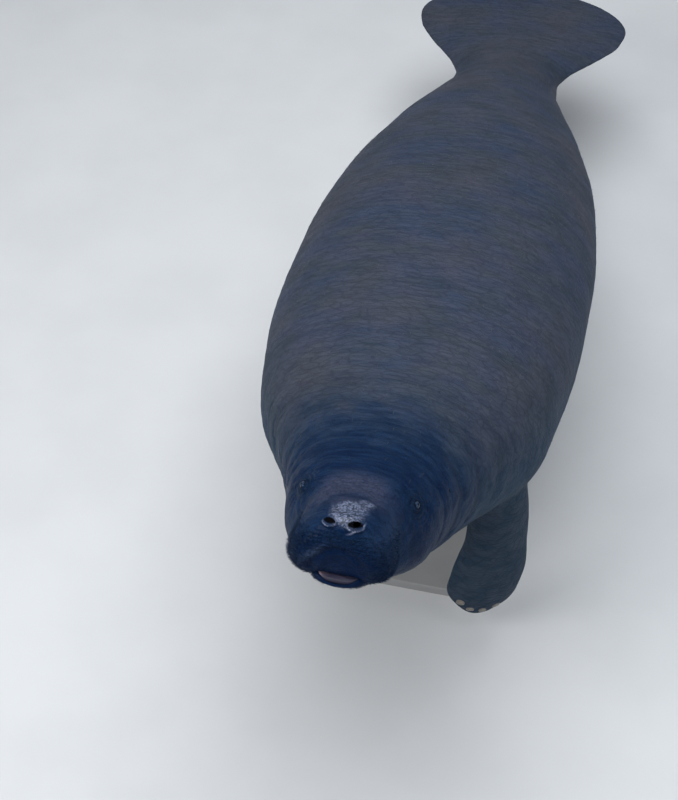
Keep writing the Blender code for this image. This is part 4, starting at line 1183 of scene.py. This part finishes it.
def tufts(name, roots, first, then, lengths, radii, unwrap, sides=3):
    """Tapered hairs as one mesh, each with its direction at the root and then at the tip."""
    count, each = len(roots), 3 * sides + 1
    turned = then - first
    along = unit(first)
    spare = np.where(np.abs(along[:, 2:]) > 0.8, [[1.0, 0, 0]], [[0, 0, 1.0]])
    across = unit(np.cross(along, spare))
    over = np.cross(along, across)
    points = np.empty((count, each, 3))
    for row, (run, size, reach) in enumerate(HAIR_ROWS):
        bend = first * reach + turned * run**2 * 0.5
        middle = roots + bend * lengths[:, None]
        for j, a in enumerate(circle(sides)):
            spoke = math.cos(a) * across + math.sin(a) * over
            points[:, row * sides + j] = middle + spoke * (radii * size)[:, None]
    points[:, 3 * sides] = roots + (first * 0.95 + turned * 0.5) * lengths[:, None]
    faces = []
    for row in range(2):
        for j in range(sides):
            a, b = row * sides + j, row * sides + (j + 1) % sides
            faces += [(a, b, b + sides), (a, b + sides, a + sides)]
    faces += [(2 * sides + j, 2 * sides + (j + 1) % sides, 3 * sides) for j in range(sides)]
    faces += [(0, j + 1, j) for j in range(1, sides - 1)]
    corners = (np.array(faces)[None] + (np.arange(count) * each)[:, None, None]).reshape(-1)
    heights = np.append(np.repeat(HAIR_HEIGHTS, sides), 1.0)
    places_in = np.stack([np.cos(np.arange(each) * 2.4), heights * 2 - 1], 1) * HAIR_PATCH
    spots = (unwrap[:, None, :] + places_in[None]).reshape(-1, 2)[corners]
    made = new_piece(name, points.reshape(-1, 3), corners, np.full(len(corners) // 3, 3), spots)
    tips = made.data.attributes.new("tip", "FLOAT", "POINT")
    tips.data.foreach_set("value", np.tile(heights, count).astype(np.float32))
    made.data.shade_smooth()
    return made


def carried(lie, step):
    """Where a small step on the straight body points to on the bent one."""
    return unit(posed(lie + step) - posed(lie))


def along_skin(vectors, out):
    """What is left of vectors when they are laid flat on the skin."""
    return vectors - out * (vectors * out).sum(1, keepdims=True)


def own_place(tree):
    """The place on a piece of its own that a grain follows."""
    return add_node(tree, "TexCoord", {}).outputs["Object"]


BRISTLES = 6500


centres, normals, areas, unwraps = face_table(hide.data)
face_lie = straightened(centres)
fx, fy, fz = face_lie.T
far = np.hypot(fx, fz + 0.036)
lip = soft_step(fy, 0.120, 0.080) * soft_step(fz, 0.038, 0.012)
thick = lip * (0.10 + 0.90 * soft_step(lip_reach(fx, fz), 0.95, 1.20))
chin = soft_step(fy, 0.16, 0.10) * soft_step(fz, -0.070, -0.085)
thick = np.maximum(thick, 0.30 * chin)
thick *= np.linalg.norm(from_mouth(face_lie) / MOUTH_RADII, axis=1) > 1.10
snout_top = soft_step(fy, 0.20, 0.12) * soft_step(fz, 0.030, 0.045)
for centre, radii, turn in hollows:
    clear = np.linalg.norm((centres - centre) @ turn / np.array(radii), axis=1) > 1.5
    thick *= clear
    snout_top *= clear
draw = np.random.default_rng(41)
share = areas * np.maximum(thick, 0.035 * snout_top)
pick = draw.choice(len(areas), BRISTLES, p=share / share.sum())
out = normals[pick]
jitter = along_skin(draw.normal(size=(len(pick), 3)), out)
roots = centres[pick] + 0.0008 * jitter
# Away from the middle of the face on the straight body, carried over to the bent one.
spoke = (face_lie[pick] - np.array([0.0, 0.03, -0.030])) * np.array([1.0, 0.4, 1.0])
ahead = along_skin(carried(face_lie[pick], 0.001 * unit(spoke)), out)
first = unit(0.62 * out + 0.85 * ahead + 0.20 * jitter)
then = first + 0.55 * ahead - 0.15 * out
edge = soft_step(far[pick], 0.050, 0.085)
lengths = (0.0042 + 0.0038 * edge) * (0.70 + 0.6 * draw.random(len(pick)))
lengths *= np.where(thick[pick] > 0.05, 1.0, 0.55)
radii = (0.00024 + 0.00010 * edge) * (0.85 + 0.3 * draw.random(len(pick)))
bristles = tufts("bristles", roots, first, then, lengths, radii, unwraps[pick])
bristle_finish, tree, shader = new_material("bristle_finish")
tip_share = held(tree, "tip", "Fac")
shade, _ = grained(tree, own_place(tree), 60.0, 3.0)
colour = mixed(tree, tip_share, (0.001, 0.008, 0.034), (0.026, 0.050, 0.100))
feed(
    tree,
    shader,
    {
        "Base Color": painted(tree, colour, (0.002, 0.011, 0.040), shade, 0.6),
        "Roughness": spread(tree, tip_share, 0, 1, 0.38, 0.50),
        "Specular IOR Level": 0.15,
        "Specular Tint": WATER_BLUE,
    },
)
bristles.data.materials.append(bristle_finish)
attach(bristles, "root")


# The body hairs, fine and colourless, one every few centimetres over back and flanks, leaning
# towards the tail.
BODY_HAIRS = 1300
HAIR_RADIUS = 0.00028
thin = soft_step(fy, 0.16, 0.30) * soft_step(fy, 2.9, 2.6) * soft_step(fz, -0.20, -0.05)
for centre, _, _ in hollows:
    thin *= np.linalg.norm(centres - centre, axis=1) > 0.03
share = areas * thin
pick = draw.choice(len(areas), BODY_HAIRS, p=share / share.sum())
out = normals[pick]
jitter = draw.normal(size=(len(pick), 3))
tailward = carried(face_lie[pick], np.array([0, 0.001, 0]))
first = unit(0.50 * out + 0.90 * tailward + 0.20 * jitter)
then = first + 0.8 * tailward - 0.5 * out
lengths = 0.006 + 0.006 * draw.random(len(pick))
radii = np.full(len(pick), HAIR_RADIUS)
hairs = tufts("body_hairs", centres[pick], first, then, lengths, radii, unwraps[pick])
hair_finish, tree, shader = new_material("hair_finish")
tip_share = held(tree, "tip", "Fac")
colour = mixed(tree, tip_share, (0.060, 0.065, 0.075), (0.160, 0.155, 0.150))
feed(tree, shader, {"Base Color": colour, "Roughness": spread(tree, tip_share, 0, 1, 0.40, 0.55)})
hairs.data.materials.append(hair_finish)
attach(hairs, "root")


# The stand: a heavy painted steel plate with rounded corners, and two brushed steel rods that
# are welded to round feet, screwed to the plate and pushed up into sockets in the belly.
def repainted(node, material):
    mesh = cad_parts[node].data
    mesh.materials.clear()
    mesh.materials.append(material)


plate_finish, tree, shader = new_material("plate_finish")
where = own_place(tree)
_, peel_height = grained(tree, where, 380.0, 2.0, 0.00012)
dust, _ = grained(tree, where, 6.0, 7.0)
up_face = split(tree, add_node(tree, "NewGeometry", {}).outputs["Normal"])[2]
lying = worked(tree, "MULTIPLY", spread(tree, up_face, 0.6, 1.0), dust)
feed(
    tree,
    shader,
    {
        "Base Color": painted(tree, (0.300, 0.305, 0.310), (0.380, 0.378, 0.370), lying, 0.45),
        "Roughness": spread(tree, dust, 0, 1, 0.36, 0.52),
        "Normal": bump(tree, 0.6, peel_height),
    },
)
repainted("stand_base", plate_finish)

steel_finish, tree, shader = new_material("steel_finish")
where = own_place(tree)
brush, brush_height = grained(tree, stretched(tree, where, (1.0, 1.0, 14.0)), 160.0, 3.0, 0.00006)
haze, _ = grained(tree, where, 14.0, 5.0)
colour = mixed(tree, brush, (0.40, 0.40, 0.41), (0.56, 0.56, 0.57))
feed(
    tree,
    shader,
    {
        "Base Color": painted(tree, colour, (0.34, 0.33, 0.32), haze, 0.3),
        "Metallic": 1.0,
        "Roughness": spread(tree, haze, 0, 1, 0.24, 0.38),
        "Normal": bump(tree, 0.7, brush_height),
    },
)
repainted("stand_rod_front", steel_finish)
repainted("stand_rod_rear", steel_finish)


# The rods' collars and screws. A black rubber collar closes each socket against the belly, and
# four round-headed steel screws hold each foot.
ROD_RADIUS = 0.022
ROD_SUNK = 0.035
# Distance out from the rod and rise over the belly, round a collar's section.
COLLAR_PROFILE = (
    (0.0003, 0.006),
    (0.0003, -0.012),
    (0.0022, -0.0150),
    (0.0075, -0.0150),
    (0.0105, -0.0125),
    (0.0120, -0.0080),
    (0.0130, 0.0040),
    (0.0100, 0.0080),
)
FOOT_TOP = 0.0343
SCREW_CIRCLE = 0.045
SCREW_SIDES = 24
# Radius and rise of a screw's head, up over its rim and down into its socket.
SCREW_PROFILE = (
    (0.0068, 0.0),
    (0.0068, 0.0010),
    (0.0060, 0.0026),
    (0.0044, 0.0036),
    (0.0026, 0.0040),
    (0.0026, 0.0018),
)
rubber_finish, tree, shader = new_material("rubber_finish")
chalk, chalk_height = grained(tree, own_place(tree), 45.0, 5.0, 0.0003)
feed(
    tree,
    shader,
    {
        "Base Color": mixed(tree, chalk, (0.012, 0.012, 0.013), (0.030, 0.030, 0.031)),
        "Roughness": spread(tree, chalk, 0, 1, 0.60, 0.80),
        "Normal": bump(tree, 0.6, chalk_height),
    },
)
belly_surface = surface_of(hide)
for name in ("front", "rear"):
    low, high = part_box("stand_rod_" + name)
    mid_x, mid_y = (low.x + high.x) / 2, (low.y + high.y) / 2
    rings = np.empty((64, len(COLLAR_PROFILE), 3))
    for ring, a in zip(rings, circle(64)):
        for spot, (off, rise) in zip(ring, COLLAR_PROFILE):
            px = mid_x + (ROD_RADIUS + off) * math.cos(a)
            py = mid_y + (ROD_RADIUS + off) * math.sin(a)
            hit = belly_surface.ray_cast(Vector((px, py, 0.05)), Vector((0, 0, 1)))[0]
            spot[:] = px, py, (hit.z if hit else high.z - ROD_SUNK) + rise
    count, around = rings.shape[:2]
    i, j = np.indices((count, around)).reshape(2, -1)
    next_i, next_j = (i + 1) % count * around, (j + 1) % around
    faces = np.stack([i * around + j, next_i + j, next_i + next_j, i * around + next_j], 1)
    mesh = bpy.data.meshes.new("collar_" + name)
    mesh.from_pydata(rings.reshape(-1, 3).tolist(), [], faces.tolist())
    collar = linked("collar_" + name, mesh)
    mesh.shade_smooth()
    mesh.materials.append(rubber_finish)
    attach(collar, "root")

    work = bmesh.new()
    for a in circle(4, math.pi / 4):
        sx, sy = mid_x + SCREW_CIRCLE * math.cos(a), mid_y + SCREW_CIRCLE * math.sin(a)
        rings = []
        for radius, rise in SCREW_PROFILE:
            turns = circle(SCREW_SIDES)
            spots = [(sx + radius * math.cos(t), sy + radius * math.sin(t)) for t in turns]
            rings.append([work.verts.new((*spot, FOOT_TOP + rise)) for spot in spots])
        for lower, upper in zip(rings, rings[1:]):
            for j in range(SCREW_SIDES):
                k = (j + 1) % SCREW_SIDES
                work.faces.new((lower[j], lower[k], upper[k], upper[j]))
        work.faces.new(rings[-1])
        work.faces.new(rings[0][::-1])
    mesh = bpy.data.meshes.new("foot_screws_" + name)
    bmesh.ops.recalc_face_normals(work, faces=work.faces)
    work.to_mesh(mesh)
    work.free()
    screws = linked("foot_screws_" + name, mesh)
    mesh.shade_smooth()
    mesh.set_sharp_from_angle(angle=math.radians(40))
    mesh.materials.append(steel_finish)
    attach(screws, "root")


# The studio: a pale matt floor, a large soft light overhead and softer ones from the sides, and
# a camera above and ahead of the muzzle, where the photograph was taken from.
FLOOR_HALF = 30.0
FLOOR_RISE = -0.0005
floor_mesh = bpy.data.meshes.new("studio_floor")
sides = ((-1, -1), (1, -1), (1, 1), (-1, 1))
corners = [(x * FLOOR_HALF, y * FLOOR_HALF, FLOOR_RISE) for x, y in sides]
floor_mesh.from_pydata(corners, [], [(0, 1, 2, 3)])
floor = linked("studio_floor", floor_mesh)
floor_finish, tree, shader = new_material("floor_finish")
cast, _ = grained(tree, own_place(tree), 3.0, 6.0)
colour = mixed(tree, cast, (0.60, 0.61, 0.62), (0.63, 0.64, 0.65))
feed(tree, shader, {"Base Color": colour, "Roughness": 0.75})
floor_mesh.materials.append(floor_finish)

world = bpy.data.worlds.new("studio")
world.use_nodes = True
background = world.node_tree.nodes["Background"]
feed(world.node_tree, background, {"Color": (0.80, 0.86, 0.95, 1.0), "Strength": 0.32})
bpy.context.scene.world = world


def aimed(name, data, place, ahead):
    """A light or a camera at its place, looking ahead."""
    made = linked(name, data)
    made.location = place
    made.rotation_mode = "QUATERNION"
    made.rotation_quaternion = ahead.to_track_quat("-Z", "Y")
    return made


def soft_light(name, place, target, size, power, tint):
    lamp = bpy.data.lights.new(name, "AREA")
    lamp.shape, lamp.size, lamp.size_y = "RECTANGLE", size[0], size[1]
    lamp.energy, lamp.color = power, tint
    aimed(name, lamp, place, Vector(target) - Vector(place))


soft_light("overhead", (0.0, 0.4, 4.6), (0.0, 0.0, 0.6), (4.0, 5.0), 190.0, (0.94, 0.97, 1.0))
soft_light("key", (-3.0, -3.0, 3.4), (0.0, -0.8, 0.7), (2.2, 2.2), 120.0, (1.0, 0.98, 0.95))
soft_light("fill", (3.6, -2.0, 1.8), (0.0, -0.4, 0.6), (2.5, 2.5), 45.0, (0.92, 0.96, 1.0))

CAMERA_PLACE = (0.3256, -2.6504, 2.8471)
CAMERA_AZIMUTH = 0.22606
CAMERA_PITCH = 0.81044
SENSOR_WIDTH = 36.0
FOCAL_LENGTH = 63.47
lens = bpy.data.cameras.new("camera")
lens.sensor_fit, lens.sensor_width, lens.lens = "AUTO", SENSOR_WIDTH, FOCAL_LENGTH
flat = math.cos(CAMERA_PITCH)
side, back = math.sin(CAMERA_AZIMUTH) * flat, -math.cos(CAMERA_AZIMUTH) * flat
behind = Vector((side, back, math.sin(CAMERA_PITCH)))
bpy.context.scene.camera = aimed("camera", lens, CAMERA_PLACE, -behind)
bpy.context.scene.view_settings.view_transform = "Standard"
